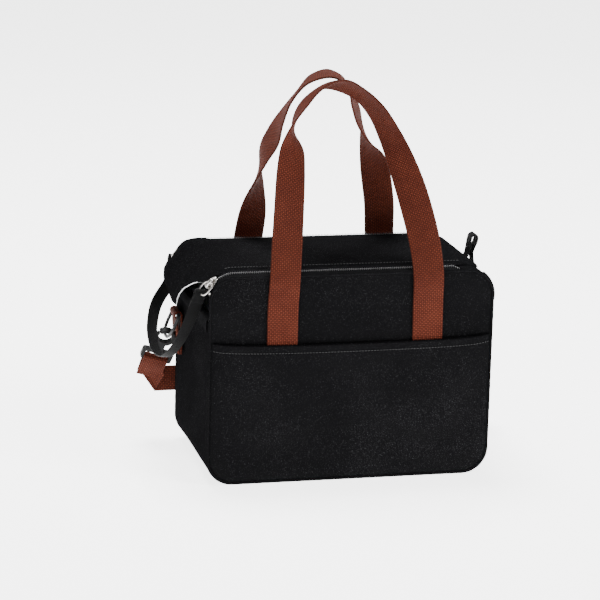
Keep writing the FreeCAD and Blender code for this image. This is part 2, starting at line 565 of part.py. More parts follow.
def hook_shapes():
    """A flat snap hook whose ring hangs from the origin, with its gate, and the slotted eye for the strap.
    Gives both solids and the middle of the eye's lower bar."""
    hole, rim, deep = size("hook_hole"), size("hook_hole") + size("hook_bar"), size("hook_thick") / 2
    reach = 3 * rim
    ring = washer(hole, rim, deep).cut(wedge(size("mouth_from"), size("mouth_to"), reach, deep))
    inset = size("gate_in")
    gate = washer(hole + inset, rim - inset, deep)
    gate = gate.common(wedge(size("gate_from"), size("gate_to"), reach, deep - size("gate_side")))
    half_shank, shank = size("shank_wide") / 2, size("hook_shank")
    stem = box((-half_shank, half_shank), (-deep, deep), (-rim - shank, -rim + size("shank_lap")))
    eye_top = -rim - shank + size("eye_lap")
    half, wall, half_thick = size("eye_wide") / 2, size("eye_bar"), size("eye_thick") / 2
    eye_low = eye_top - size("eye_tall")
    eye = box((-half, half), (-half_thick, half_thick), (eye_low, eye_top))
    corners = [e for e in eye.Edges if abs(e.Vertexes[0].Y - e.Vertexes[-1].Y) > half_thick]
    slot = box((-half + wall, half - wall), (-half_thick - PAST, half_thick + PAST),
               (eye_low + wall, eye_top - wall))
    eye = eye.makeFillet(size("eye_round"), corners).cut(slot)
    body = ring.fuse([stem, eye]).removeSplitter()
    down = V(0, 0, -hole + size("dring_wire") / 2 + size("hook_slack"))
    for shape in (body, gate):
        shape.translate(down)
    return body, gate, down + V(0, 0, eye_low + wall / 2)


def ring_bar():
    """The middle of the ring's bar, in its tab on the left side."""
    return V(-HALF_W - size("tab_hole") - size("tab_thick"), size("tab_y"), size("tab_high"))


def hook_turn():
    """How the left hook hangs: out from the bag's side, and back towards the strap's run."""
    out, back = FreeCAD.Rotation(V(0, 1, 0), size("hook_out")), FreeCAD.Rotation(V(1, 0, 0), size("hook_lean"))
    return out.multiply(back)


def make_side_hardware():
    """Tab, ring, snap hook and gate on the left, and the same mirrored on the right. Gives the middle of
    the left hook's eye bar."""
    tilt = math.radians(size("dring_tilt"))
    tab = tab_shape()
    tab.translate(V(0, size("tab_y"), 0))
    dring = dring_shape()
    dring.rotate(V(0, 0, 0), V(0, 1, 0), size("dring_tilt"))
    dring.translate(ring_bar())
    hook, gate, eye_bar = hook_shapes()
    bow = ring_bar() - V(math.sin(tilt), 0, math.cos(tilt)) * size("dring_tall")
    hang = FreeCAD.Placement(bow, hook_turn())
    for shape in (hook, gate):
        shape.Placement = hang.multiply(shape.Placement)
    for side, sign in (("left", 1), ("right", -1)):
        for name, shape in (("side_tab", tab), ("dring", dring), ("snap_hook", hook), ("hook_gate", gate)):
            made = shape if sign > 0 else shape.mirror(V(0, 0, 0), V(1, 0, 0))
            feature(f"{side}_{name}", made)
    return hang.multVec(eye_bar)


def strap_end():
    """The strap's end folded over the hook's lower bar, which lies along X at the origin; it hangs down."""
    half, near, far = size("strap") / 2, size("strap_open"), size("strap_open") + size("strap_thick")
    over = size("eye_bar") / 2 + size("strap_slack")
    plies = [box((-half, half), mirrored(near, far, sign), (-size("strap_fold"), over)) for sign in (-1, 1)]
    cap = box((-half, half), (-far, far), (over, over + size("strap_thick")))
    return plies[0].fuse([plies[1], cap]).removeSplitter()


def strap_layer(label, line, y):
    """A layer of the strap behind the bag, along a line of (x, z) points at the middle of its width."""
    half = size("strap") / 2
    points = [V(x, y, z + half) for x, z in line] + [V(x, y, z - half) for x, z in reversed(line)]
    feature(label, Part.Face(Part.makePolygon(points + [points[0]])).extrude(V(0, size("strap_thick"), 0)))


def make_strap(eye):
    """The shoulder strap at its shortest: the run behind the bag with its spare length doubled over it, and
    an end folded over each hook's eye. Gives the planes of the two layers."""
    y = PROUD_Y + size("strap_gap")
    y2 = y + size("strap_thick") + size("return_gap")
    side_z, low_z = size("strap_side_z"), size("strap_low_z")
    level, slope = size("strap_level"), size("strap_slope")
    reach = -eye.x + size("strap") / 2
    strap_layer("strap_run", [(-reach, side_z), (-slope, side_z), (-level, low_z),
                              (level, low_z), (slope, side_z), (reach, side_z)], y)
    start = -reach + size("strap") + size("return_in")
    strap_layer("strap_return", [(start, side_z), (-slope, side_z), (-level, low_z),
                                 (size("return_end"), low_z)], y2)
    for side, sign in (("left", 1), ("right", -1)):
        end = strap_end()
        end.Placement = FreeCAD.Placement(eye, hook_turn())
        feature(f"{side}_strap_end", end if sign > 0 else end.mirror(V(0, 0, 0), V(1, 0, 0)))
    return y, y2


def make_glide(y, y2):
    """The three-bar slide that sets the strap's length: two rails, two end bars, a bar between the layers."""
    half, thick, rail = size("strap") / 2 + size("glide_room"), size("strap_thick"), size("glide_rail")
    long, post = size("glide_long") / 2, size("glide_post") / 2
    back = y2 + thick + size("glide_gap")
    behind = back + size("glide_bar")
    across = (-half - rail, half + rail)
    rails = [box((-long, long), (y - size("glide_front"), behind), mirrored(half, half + rail, s))
             for s in (-1, 1)]
    between = box((-post, post), (y + thick + size("post_gap"), y2 - size("post_gap")), across)
    ends = [box(mirrored(long - size("glide_end"), long, s), (back, behind), across) for s in (-1, 1)]
    body = rails[0].fuse([rails[1], between] + ends).removeSplitter()
    body.translate(V(0, 0, size("strap_low_z")))
    feature("strap_glide", body)


def make_grab_tab():
    """A small folded ribbon at the right end of the top, to hold while the zip is pulled."""
    x, wide, thick, r = HALF_W - size("grab_in"), size("grab_wide") / 2, size("grab_thick"), size("grab_round")
    z = size("height") - size("grab_drop")
    high, foot_top = z + size("grab_long"), z + r
    legs = [box((x + dx, x + dx + thick), (-wide, wide), (foot_top, high)) for dx in (0, 2 * r - thick)]
    middle = V(x + r, -wide, high)
    top = Part.makeCylinder(r, 2 * wide, middle, V(0, 1, 0))
    top = top.cut(Part.makeCylinder(r - thick, 2 * wide, middle, V(0, 1, 0)))
    top = top.cut(box((x - PAST, x + 2 * PAST), (-wide, wide), (z, high)))
    foot = box((x + 2 * r - size("grab_foot_thick"), x + 2 * r), (-wide, wide),
               (z - size("grab_foot"), foot_top))
    base = box((x, x + 2 * r), (-wide, wide), (foot_top - thick, foot_top))
    feature("grab_tab", legs[0].fuse([legs[1], top, foot, base]).removeSplitter())


def make_zip_patches():
    """Short cloth ends that cover the right ends of the zips on the end of the bag."""
    for side, sign in (("front", -1), ("back", 1)):
        patch = box((HALF_W + size("patch_gap"), HALF_W + size("patch_out")),
                    mirrored(HALF_D - size("patch_near"), HALF_D - size("patch_far"), sign),
                    (size("height") - size("patch_low"), size("height") - size("patch_top")))
        feature(f"{side}_zip_patch", patch)


make_walls()
make_base_board()
make_piping()
make_pocket()
make_zips()
make_ribbon(*make_sliders())
make_lid()
make_handles()
strap_planes = make_strap(make_side_hardware())
make_glide(*strap_planes)
make_grab_tab()
make_zip_patches()

doc.recompute()
for obj in doc.Objects:
    if {"Invalid", "Error"} & set(obj.State):
        raise RuntimeError(f"{obj.Label} failed: {obj.State}")
os.makedirs("parts", exist_ok=True)
for obj in nodes:
    shape = obj.Shape
    if shape.isNull() or not shape.isValid() or shape.Volume <= 0:
        raise RuntimeError(f"{obj.Label} has no valid shape")
    shape.exportStep(f"parts/{obj.Label}.step")
    b = shape.BoundBox
    print(f"{obj.Label:20s} {len(shape.Solids)} {shape.Volume:10.1f}  x {b.XMin:7.1f} {b.XMax:7.1f}"
          f"  y {b.YMin:7.1f} {b.YMax:7.1f}  z {b.ZMin:7.1f} {b.ZMax:7.1f}")
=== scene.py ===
import bmesh
import bpy
import math
import numpy as np
from mathutils import Matrix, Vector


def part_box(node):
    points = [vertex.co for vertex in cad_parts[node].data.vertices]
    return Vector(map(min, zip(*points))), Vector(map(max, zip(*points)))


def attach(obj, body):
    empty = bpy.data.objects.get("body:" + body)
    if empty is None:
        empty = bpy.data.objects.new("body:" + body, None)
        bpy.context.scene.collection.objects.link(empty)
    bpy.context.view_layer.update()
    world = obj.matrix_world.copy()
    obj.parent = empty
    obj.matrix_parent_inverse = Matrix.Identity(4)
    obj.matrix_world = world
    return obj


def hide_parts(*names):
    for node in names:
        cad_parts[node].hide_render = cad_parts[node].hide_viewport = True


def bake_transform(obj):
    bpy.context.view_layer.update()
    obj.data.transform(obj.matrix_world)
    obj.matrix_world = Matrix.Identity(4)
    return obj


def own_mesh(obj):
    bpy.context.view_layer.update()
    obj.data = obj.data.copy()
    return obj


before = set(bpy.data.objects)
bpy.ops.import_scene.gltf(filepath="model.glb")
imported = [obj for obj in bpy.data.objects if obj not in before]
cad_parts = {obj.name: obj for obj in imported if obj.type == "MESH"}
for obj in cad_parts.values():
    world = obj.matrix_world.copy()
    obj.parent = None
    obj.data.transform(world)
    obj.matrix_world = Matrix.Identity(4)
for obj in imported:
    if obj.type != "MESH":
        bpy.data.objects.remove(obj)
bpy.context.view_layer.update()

# ----------------------------------------------------------
# Camera, floor and studio light. A long lens stands well back at the front left, a little above the
# lid. The floor is one pale sweep, under a broad key light and a soft fill.
# ----------------------------------------------------------
AZIMUTH, ELEVATION, ROLL = math.radians(-13.86), math.radians(14.22), math.radians(1.49)
CAMERA_AT = (-0.6288, -2.4164, 0.7900)


def unit(vectors):
    """The vectors at length 1."""
    return vectors / np.linalg.norm(vectors, axis=-1, keepdims=True)


away = np.array([math.sin(AZIMUTH) * math.cos(ELEVATION), -math.cos(AZIMUTH) * math.cos(ELEVATION),
                 math.sin(ELEVATION)])
level = unit(np.cross(-away, (0, 0, 1)))
raised = np.cross(away, level)
across = math.cos(ROLL) * level + math.sin(ROLL) * raised
upright = -math.sin(ROLL) * level + math.cos(ROLL) * raised
camera = bpy.data.objects.new("camera", bpy.data.cameras.new("camera"))
camera.matrix_world = Matrix([[across[i], upright[i], away[i], CAMERA_AT[i]] for i in range(3)]
                             + [[0, 0, 0, 1]])
camera.data.lens = 157.9
camera.data.sensor_width = 36
camera.data.clip_end = 30
bpy.context.scene.collection.objects.link(camera)
bpy.context.scene.camera = camera


def area_light(name, place, aim, wide, power):
    """A square soft light at a place, turned to aim at a point."""
    lamp = bpy.data.objects.new(name, bpy.data.lights.new(name, "AREA"))
    lamp.data.size, lamp.data.energy = wide, power
    back = unit(np.array(place, float) - np.array(aim, float))
    side = unit(np.cross((0, 0, 1), back))
    top = np.cross(back, side)
    lamp.matrix_world = Matrix([[side[i], top[i], back[i], place[i]] for i in range(3)]
                               + [[0, 0, 0, 1]])
    bpy.context.scene.collection.objects.link(lamp)


area_light("key_light", (1.5, -1.5, 1.9), (0, 0, 0.15), 0.9, 60)
area_light("top_light", (-0.2, 0.6, 2.2), (0, 0, 0.2), 0.9, 105)
area_light("back_light", (0.9, 1.7, 1.4), (0, 0, 0.2), 1.2, 9)

world = bpy.data.worlds.new("studio")
world.use_nodes = True
world_look = world.node_tree.nodes["Background"].inputs
world_look["Color"].default_value = (0.93, 0.93, 0.93, 1)
world_look["Strength"].default_value = 0.45
bpy.context.scene.world = world

FLOOR_REACH = 12.0
floor_mesh = bpy.data.meshes.new("floor")
floor_mesh.from_pydata([(-FLOOR_REACH, -FLOOR_REACH, 0), (FLOOR_REACH, -FLOOR_REACH, 0),
                        (FLOOR_REACH, FLOOR_REACH, 0), (-FLOOR_REACH, FLOOR_REACH, 0)], [], [(0, 1, 2, 3)])
floor = bpy.data.objects.new("floor", floor_mesh)
bpy.context.scene.collection.objects.link(floor)
floor_paint = bpy.data.materials.new("floor_paint")
floor_paint.use_nodes = True
floor_look = floor_paint.node_tree.nodes["Principled BSDF"].inputs
for label, value in (("Base Color", (0.84, 0.84, 0.84, 1)), ("Roughness", 0.9),
                     ("Emission Color", (1, 1, 1, 1)), ("Emission Strength", 3.5)):
    floor_look[label].default_value = value
floor_mesh.materials.append(floor_paint)

# ----------------------------------------------------------
# Shell panels: front and back. Black polyester canvas laminated to foam, so they are firm, stand a
# little proud between their seams and lie in soft hollows. Fine specks of lighter colour are painted glints.
# ----------------------------------------------------------
MM = 0.001
CLOTH = 1.3 * MM
SIDES = (("front", -1), ("back", 1))


def xyz(x, y, z):
    """Points from their three coordinates, each an array or one number."""
    return np.stack(np.broadcast_arrays(x, y, z), -1)


def new_group(name, inputs, outputs):
    """An empty shader node group with its sockets, and its two end nodes."""
    group = bpy.data.node_groups.new(name, "ShaderNodeTree")
    for label, kind, value in inputs:
        socket = group.interface.new_socket(label, in_out="INPUT", socket_type=kind)
        if value is not None:
            socket.default_value = value
    for label, kind in outputs:
        group.interface.new_socket(label, in_out="OUTPUT", socket_type=kind)
    return group, group.nodes.new("NodeGroupInput").outputs, group.nodes.new("NodeGroupOutput").inputs


def maths(tree, operation, *values, clamp=False):
    """A Math node over numbers or sockets. Returns its output."""
    node = tree.nodes.new("ShaderNodeMath")
    node.operation, node.use_clamp = operation, clamp
    for socket, value in zip(node.inputs, values):
        if isinstance(value, (int, float)):
            socket.default_value = value
        else:
            tree.links.new(value, socket)
    return node.outputs[0]


def noise(tree, vector, scale, detail=2.0, rough=0.5):
    """A noise texture read at a vector. Returns its value, about 0.5."""
    node = tree.nodes.new("ShaderNodeTexNoise")
    node.inputs["Scale"].default_value = scale
    node.inputs["Detail"].default_value = detail
    node.inputs["Roughness"].default_value = rough
    tree.links.new(vector, node.inputs["Vector"])
    return node.outputs[0]


def mix_colour(tree, factor, dark, light):
    """A colour between two, each a plain colour or a socket. Returns it."""
    node = tree.nodes.new("ShaderNodeMix")
    node.data_type = "RGBA"
    tree.links.new(factor, node.inputs["Factor"])
    for socket, value in ((node.inputs[6], dark), (node.inputs[7], light)):
        if isinstance(value, tuple):
            socket.default_value = (*value, 1)
        else:
            tree.links.new(value, socket)
    return node.outputs[2]


def bump(tree, height, distance, strength=1.0, onto=None):
    """A Bump node over a height, added to the normal onto. Returns its normal."""
    node = tree.nodes.new("ShaderNodeBump")
    node.inputs["Distance"].default_value = distance
    node.inputs["Strength"].default_value = strength
    tree.links.new(height, node.inputs["Height"])
    if onto is not None:
        tree.links.new(onto, node.inputs["Normal"])
    return node.outputs["Normal"]


def new_material(name, roughness, metallic=0.0):
    """A material with its Principled shader and its texture coordinates."""
    made = bpy.data.materials.new(name)
    made.use_nodes = True
    tree = made.node_tree
    shader = tree.nodes["Principled BSDF"].inputs
    shader["Roughness"].default_value = roughness
    shader["Metallic"].default_value = metallic
    return made, tree, shader, tree.nodes.new("ShaderNodeTexCoord").outputs


def place_group(tree, group, vector, **values):
    """Put a shared group in a material, read at a vector. Returns its outputs."""
    node = tree.nodes.new("ShaderNodeGroup")
    node.node_tree = group
    tree.links.new(vector, node.inputs["Vector"])
    for label, value in values.items():
        node.inputs[label].default_value = value
    return node.outputs


# Cloth yarns: a fine plain weave in the object's own space, painted glints, and slow shading.
cloth_yarns, yarn_in, yarn_out = new_group(
    "cloth_yarns", [("Vector", "NodeSocketVector", None), ("Threads", "NodeSocketFloat", 4200.0)],
    [("Weave", "NodeSocketFloat"), ("Painted_Glint", "NodeSocketFloat"), ("Shade", "NodeSocketFloat")])
split = cloth_yarns.nodes.new("ShaderNodeSeparateXYZ")
cloth_yarns.links.new(yarn_in["Vector"], split.inputs[0])
wave_x, wave_y, wave_z = [
    maths(cloth_yarns, "SINE", maths(cloth_yarns, "MULTIPLY", split.outputs[i], yarn_in["Threads"]))
    for i in range(3)]
crossed = maths(cloth_yarns, "ADD", maths(cloth_yarns, "MULTIPLY", wave_x, wave_z),
                maths(cloth_yarns, "MULTIPLY", wave_y, maths(cloth_yarns, "ADD", wave_z, wave_x)))
cloth_yarns.links.new(maths(cloth_yarns, "MULTIPLY_ADD", crossed, 0.3, 0.5), yarn_out["Weave"])
# Painted glints: fine specks, gathered in slow patches, lift the colour to stand in for sparkles of light.
fine_specks = noise(cloth_yarns, yarn_in["Vector"], 1100.0, 3.0, 0.8)
patches = noise(cloth_yarns, yarn_in["Vector"], 9.0, 2.0)
lifted = maths(cloth_yarns, "MULTIPLY_ADD", patches, 0.16, -0.66)
cloth_yarns.links.new(maths(cloth_yarns, "MULTIPLY", maths(cloth_yarns, "ADD", fine_specks, lifted), 9.0,
                            clamp=True), yarn_out["Painted_Glint"])
cloth_yarns.links.new(noise(cloth_yarns, yarn_in["Vector"], 16.0, 4.0, 0.6), yarn_out["Shade"])


def black_cloth(name, dark, light, painted_glint, threads, rough=0.66):
    """Black woven cloth: dark yarn in slow changes of shade, with painted glints, specks of lighter colour
    that stand in for sparkles of light.
    """
    made, tree, shader, place = new_material(name, rough)
    yarn = place_group(tree, cloth_yarns, place["Object"], Threads=threads)
    ground = mix_colour(tree, yarn["Shade"], dark, light)
    tree.links.new(mix_colour(tree, yarn["Painted_Glint"], ground, painted_glint), shader["Base Color"])
    tree.links.new(maths(tree, "MULTIPLY_ADD", yarn["Painted_Glint"], -0.25, rough), shader["Roughness"])
    soft = bump(tree, noise(tree, place["Object"], 30.0, 3.0, 0.6), 0.002, 0.4)
    tree.links.new(bump(tree, yarn["Weave"], 0.0002, 0.6, soft), shader["Normal"])
    shader["Specular IOR Level"].default_value = 0.0
    return made


# The fourth colour is the painted glint colour.
shell_cloth = black_cloth("shell_cloth", (0.0028, 0.0028, 0.0031), (0.0052, 0.0052, 0.0056),
                          (0.034, 0.034, 0.036), 4200.0)


def grid_faces(rows, columns, wrap_rows=False, wrap_columns=False):
    """The quads of a grid of rows by columns of points, four point numbers to a face."""
    i, j = np.meshgrid(np.arange(rows - (not wrap_rows)), np.arange(columns - (not wrap_columns)),
                       indexing="ij")
    i2, j2 = (i + 1) % rows, (j + 1) % columns
    quads = np.stack([i * columns + j, i2 * columns + j, i2 * columns + j2, i * columns + j2], -1)
    return quads.reshape(-1, 4)


def make_mesh(name, points, faces, material, uv=None):
    """A closed smooth mesh: points in metres, quads, and one UV pair for each point. Holes are filled
    with one face each, and the faces are turned outwards."""
    mesh = bpy.data.meshes.new(name)
    mesh.vertices.add(len(points))
    mesh.vertices.foreach_set("co", np.asarray(points, np.float32).ravel())
    mesh.loops.add(faces.size)
    mesh.loops.foreach_set("vertex_index", faces.astype(np.int32).ravel())
    mesh.polygons.add(len(faces))
    mesh.polygons.foreach_set("loop_start", np.arange(0, faces.size, 4, dtype=np.int32))
    mesh.polygons.foreach_set("loop_total", np.full(len(faces), 4, np.int32))
    mesh.update()
    if uv is not None:
        layer = mesh.uv_layers.new(name="UVMap")
        layer.data.foreach_set("uv", np.asarray(uv, np.float32)[faces.ravel()].ravel())
    shell = bmesh.new()
    shell.from_mesh(mesh)
    bmesh.ops.holes_fill(shell, edges=[e for e in shell.edges if e.is_boundary], sides=0)
    bmesh.ops.recalc_face_normals(shell, faces=shell.faces)
    shell.to_mesh(mesh)
    shell.free()
    mesh.polygons.foreach_set("use_smooth", np.ones(len(mesh.polygons), bool))
    mesh.materials.append(material)
    made = bpy.data.objects.new(name, mesh)
    bpy.context.scene.collection.objects.link(made)
    return made


def thick_sheet(name, outer, inner, material, uv=None):
    """A closed sheet between two grids of points (rows, columns, 3). Its border is rounded: a row of
    points runs round it midway between the two faces, pushed out by 0.4 of the thickness."""
    rows, columns = outer.shape[:2]
    n = rows * columns
    number = np.arange(n).reshape(rows, columns)
    rim = np.concatenate([number[0], number[1:, -1], number[-1, -2::-1], number[-2:0:-1, 0]])
    inside = np.concatenate([number[1], number[1:, -2], number[-2, -2::-1], number[-2:0:-1, 1]])
    a, b = outer.reshape(-1, 3), inner.reshape(-1, 3)
    out = a[rim] - a[inside]
    out /= np.maximum(np.linalg.norm(out, axis=1, keepdims=True), 1e-9)
    thick = np.linalg.norm(a[rim] - b[rim], axis=1, keepdims=True)
    middle = (a[rim] + b[rim]) / 2 + out * thick * 0.4
    ring = 2 * n + np.arange(len(rim))
    following = np.roll(np.arange(len(rim)), -1)
    faces = np.vstack([grid_faces(rows, columns), grid_faces(rows, columns)[:, ::-1] + n,
                       np.stack([rim, ring, ring[following], rim[following]], -1),
                       np.stack([ring, rim + n, rim[following] + n, ring[following]], -1)])
    flat_uv = None if uv is None else np.vstack([uv.reshape(-1, 2), uv.reshape(-1, 2),
                                                 uv.reshape(-1, 2)[rim]])
    return make_mesh(name, np.vstack([a, b, middle]), faces, material, flat_uv)


def settle_cloth(piece, held, reach):
    """Blow a closed piece up as cloth for 20 frames, with the points in held pinned, then keep
    the result with each point moved at most about reach."""
    before = np.empty(len(piece.data.vertices) * 3)
    piece.data.vertices.foreach_get("co", before)
    pins = piece.vertex_groups.new(name="held")
    pins.add([int(i) for i in np.flatnonzero(held)], 1.0, "REPLACE")
    cloth = piece.modifiers.new("cloth", "CLOTH")
    cloth.settings.vertex_group_mass = "held"
    cloth.settings.use_pressure = True
    cloth.settings.uniform_pressure_force = 4.0
    cloth.settings.effector_weights.gravity = 0
    cloth.settings.quality = 5
    cloth.settings.tension_stiffness = cloth.settings.compression_stiffness = 12
    cloth.settings.bending_stiffness = 1.5
    cloth.collision_settings.use_collision = False
    for step in range(1, 21):
        bpy.context.scene.frame_set(step)
    after = np.empty_like(before)
    piece.evaluated_get(bpy.context.evaluated_depsgraph_get()).data.vertices.foreach_get("co", after)
    piece.modifiers.remove(cloth)
    piece.vertex_groups.remove(pins)
    bpy.context.scene.frame_set(1)
    shift = (after - before).reshape(-1, 3)
    far = np.linalg.norm(shift, axis=1, keepdims=True)
    shift *= reach / (reach + far)
    piece.data.vertices.foreach_set("co", (before.reshape(-1, 3) + shift).ravel())
    piece.data.update()


def smoother(piece):
    """One round of subdivision, the same in the view and in the render."""
    finer = piece.modifiers.new("finer", "SUBSURF")
    finer.levels = finer.render_levels = 1


def hollows(x, z, seed, depth):
    """Slow uneven hollows: a sum of five long waves that cross at odd angles."""
    rng = np.random.default_rng(seed)
    turn, shift = rng.uniform(0, math.pi, 5), rng.uniform(0, 2 * math.pi, 5)
    pace = rng.uniform(20, 55, 5)
    waves = np.sin((x[..., None] * np.cos(turn) + z[..., None] * np.sin(turn)) * pace + shift)
    return waves.sum(-1) * depth / 5


HALF_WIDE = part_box("gusset")[1].x
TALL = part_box("gusset")[1].z
CORNER = 26 * MM
SEAM_IN = 2.2 * MM


def panel_grid(top, columns=64, inset=SEAM_IN, foot=0.0):
    """The x and z of a panel's grid, inside the bag's rounded outline moved in by inset. Rows follow
    the angle round each corner, so they lie close together there."""
    low, high, r = inset, TALL - inset, CORNER - inset
    bend = np.linspace(0, math.pi / 2, 11)
    z = np.concatenate([low + r * (1 - np.cos(bend)), np.linspace(low + r, high - r, 34)[1:-1],
                        high - r * (1 - np.sin(bend))])
    z = np.unique(np.append(z[(z < top - 1 * MM) & (z >= foot)], top))
    off = np.maximum(np.maximum(low + r - z, z - (high - r)), 0)
    half = HALF_WIDE - inset - r + np.sqrt(np.maximum(r ** 2 - off ** 2, 0))
    u = np.sin(np.linspace(-1, 1, columns) * math.pi / 2)
    u = 0.55 * u + 0.45 * np.linspace(-1, 1, columns)
    return u[None] * half[:, None], np.repeat(z[:, None], columns, 1)


def edge_gap(x, z, inset):
    """How far a point lies inside the rounded outline."""
    half, low, high = HALF_WIDE - inset, inset, TALL - inset
    r = CORNER - inset
    dx = np.abs(x) - (half - r)
    dz = np.maximum(low + r - z, z - (high - r))
    in_corner = (dx > 0) & (dz > 0)
    return np.where(in_corner, r - np.hypot(dx, dz), np.minimum(r - dx, r - dz))


PANEL_SEAM_Y = -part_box("front_panel")[0].y - 1.0 * MM
for side, way, seed in (("front", -1, 4), ("back", 1, 9)):
    x, z = panel_grid(TALL - SEAM_IN)
    gap = np.maximum(edge_gap(x, z, SEAM_IN), 0)
    lift = 1.0 * MM * (1 - np.exp(-gap / (4 * MM)))
    lift = lift + hollows(x, z, seed, 0.5 * MM) * np.minimum(gap / (30 * MM), 1)
    outer = xyz(x, way * (PANEL_SEAM_Y + lift), z)
    inner = xyz(x, way * (PANEL_SEAM_Y - CLOTH), z)
    shell = thick_sheet(f"{side}_shell", outer, inner, shell_cloth, np.stack([x, z], -1))
    held = np.ones(len(shell.data.vertices), bool)
    held[:x.size] = gap.ravel() < 1 * MM
    settle_cloth(shell, held, 0.9 * MM)
    smoother(shell)
    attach(shell, "bag")
    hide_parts(f"{side}_panel")

# ----------------------------------------------------------
# Gusset: one band of the same cloth that wraps the left end, the floor and the right end, and turns
# over the top right corner to the lid's hinge. Its ends draw in a little and crease at the corners.
# ----------------------------------------------------------
RIM_LEFT = 160 * MM
HINGE_X = 112 * MM
WRAP_LONG = 0.78
DRAWN_IN = 2.4 * MM


def wrap_path(depth, rim, stop):
    """The x and z of the wrap's path at a depth inside the outline: down the left end from the rim,
    along the floor, up the right end and over the corner to the hinge. Also the outward direction."""
    r = CORNER - depth
    left, right, low, high = -HALF_WIDE + CORNER, HALF_WIDE - CORNER, CORNER, TALL - CORNER
    a = np.linspace(0, math.pi / 2, 24)
    xs = [np.full(30, left - r), left - r * np.cos(a), np.linspace(left, right, 40),
          right + r * np.sin(a), np.full(30, right + r), right + r * np.cos(a),
          np.linspace(right, stop, 4)]
    zs = [np.linspace(rim, low, 30), low - r * np.sin(a), np.full(40, low - r), low - r * np.cos(a),
          np.linspace(low, high, 30), high + r * np.sin(a), np.full(4, high + r)]
    x, z = np.concatenate(xs), np.concatenate(zs)
    keep = np.append(True, np.hypot(np.diff(x), np.diff(z)) > 1e-6)
    x, z = x[keep], z[keep]
    s = np.append(0, np.cumsum(np.hypot(np.diff(x), np.diff(z))))
    even = np.linspace(0, s[-1], 230)
    x, z = np.interp(even, s, x), np.interp(even, s, z)
    out = np.stack([-np.gradient(z), np.gradient(x)], -1)
    out *= -1 / np.linalg.norm(out, axis=1, keepdims=True)
    return x, z, out


def wrap_sheet(name, depth, thick, half_y, rim, stop, material, crease=1.0):
    """A layer of the wrap: its path carried from front to back, drawn in by up to 2.4 mm at the middle
    of each end, with shallow creases that fan from the corners."""
    t = np.linspace(-1, 1, 44)
    grids = []
    for d in (depth, depth + thick):
        x, z, out = wrap_path(d, rim, stop)
        end = np.clip((np.abs(x) - (HALF_WIDE - CORNER)) / CORNER, 0, 1)
        tall = np.clip(z / TALL, 0, 1)
        pull = (DRAWN_IN * end * np.sin(math.pi * tall) ** 0.8)[:, None] * (1 - t ** 4)[None]
        folds = np.sin(z[:, None] * 95 + t[None] * 2.2) * np.sin(z[:, None] * 31 + 1.3 * t[None])
        pull = pull + (crease * 0.7 * MM * end)[:, None] * folds * (1 - t ** 2)[None]
        px = x[:, None] - out[:, :1] * pull
        pz = np.maximum(z[:, None] - out[:, 1:] * pull, d)
        grids.append(xyz(px, t[None] * half_y, pz))
    uv = xyz(np.linspace(0, WRAP_LONG, len(x))[:, None], t[None] * half_y, 0)[..., :2]
    return thick_sheet(name, *grids, material, uv)


gusset = wrap_sheet("gusset_shell", 0.0, CLOTH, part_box("gusset")[1].y + 0.6 * MM, RIM_LEFT,
                    HINGE_X - 5 * MM, shell_cloth)
smoother(gusset)
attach(gusset, "bag")
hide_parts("gusset")

# ----------------------------------------------------------
# Insulation: 5 mm closed-cell foam behind the panels and round the wrap, cut from pale sheet. Only its
# top edges show, when the lid is open.
# ----------------------------------------------------------
def speckled(name, rough, metal, grain, dark, light):
    """A material mottled between two colours by a noise, whose scale, detail and roughness are grain.
    Returns the material, its tree, its shader's inputs and the noise."""
    made, tree, shader, place = new_material(name, rough, metal)
    value = noise(tree, place["Object"], *grain)
    tree.links.new(mix_colour(tree, value, dark, light), shader["Base Color"])
    return made, tree, shader, value


foam_sheet, tree, shader, cells = speckled("foam_sheet", 0.9, 0.0, (700.0, 2.0, 0.6),
                                           (0.62, 0.62, 0.60), (0.80, 0.80, 0.78))
tree.links.new(bump(tree, cells, 0.0004, 0.7), shader["Normal"])
shader["Subsurface Weight"].default_value = 0.05

FOAM_TOP = 174 * MM
for side, way in SIDES:
    low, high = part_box(f"{side}_foam")
    near, far = sorted((abs(low.y), abs(high.y)))
    x, z = panel_grid(FOAM_TOP, 40, 3.4 * MM, 3.4 * MM)
    foam = thick_sheet(f"{side}_foam_sheet", xyz(x, way * (far - 0.8 * MM), z),
                       xyz(x, way * (near + 0.2 * MM), z), foam_sheet)
    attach(foam, "bag")
    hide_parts(f"{side}_foam")

wrap_foam = wrap_sheet("wrap_foam_sheet", 1.7 * MM, 4.6 * MM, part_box("wrap_foam")[1].y - 0.3 * MM,
                       RIM_LEFT, HINGE_X + 7 * MM, foam_sheet)
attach(wrap_foam, "bag")
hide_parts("wrap_foam")

# ----------------------------------------------------------
# Lining: aluminium-faced film over the foam, heat-sealed, crinkled all over, with the stiff base board
# under it on the floor of the bag.
# ----------------------------------------------------------
foil, tree, shader, place = new_material("foil_lining", 0.34, 1.0)
broad = noise(tree, place["Object"], 42.0, 5.0, 0.62)
ridges = maths(tree, "ABSOLUTE", maths(tree, "SUBTRACT", broad, 0.5))
small = noise(tree, place["Object"], 260.0, 3.0, 0.6)
crinkle = maths(tree, "MULTIPLY_ADD", small, 0.15, ridges)
tree.links.new(bump(tree, crinkle, 0.006, 0.8), shader["Normal"])
tree.links.new(maths(tree, "MULTIPLY_ADD", small, 0.25, 0.22), shader["Roughness"])
# Painted shade: the colour darkens along the crinkle's fold lines, where the bump dips.
tree.links.new(mix_colour(tree, ridges, (0.70, 0.71, 0.72), (0.86, 0.87, 0.88)), shader["Base Color"])


def crumple(x, z, seed, depth):
    """Many short straight folds: triangle waves at odd angles, added together."""
    rng = np.random.default_rng(seed)
    turn, shift, pace = rng.uniform(0, math.pi, 9), rng.uniform(0, 6.3, 9), rng.uniform(60, 190, 9)
    phase = (x[..., None] * np.cos(turn) + z[..., None] * np.sin(turn)) * pace + shift
    return (np.arcsin(np.sin(phase)) * 2 / math.pi).sum(-1) * depth / 3


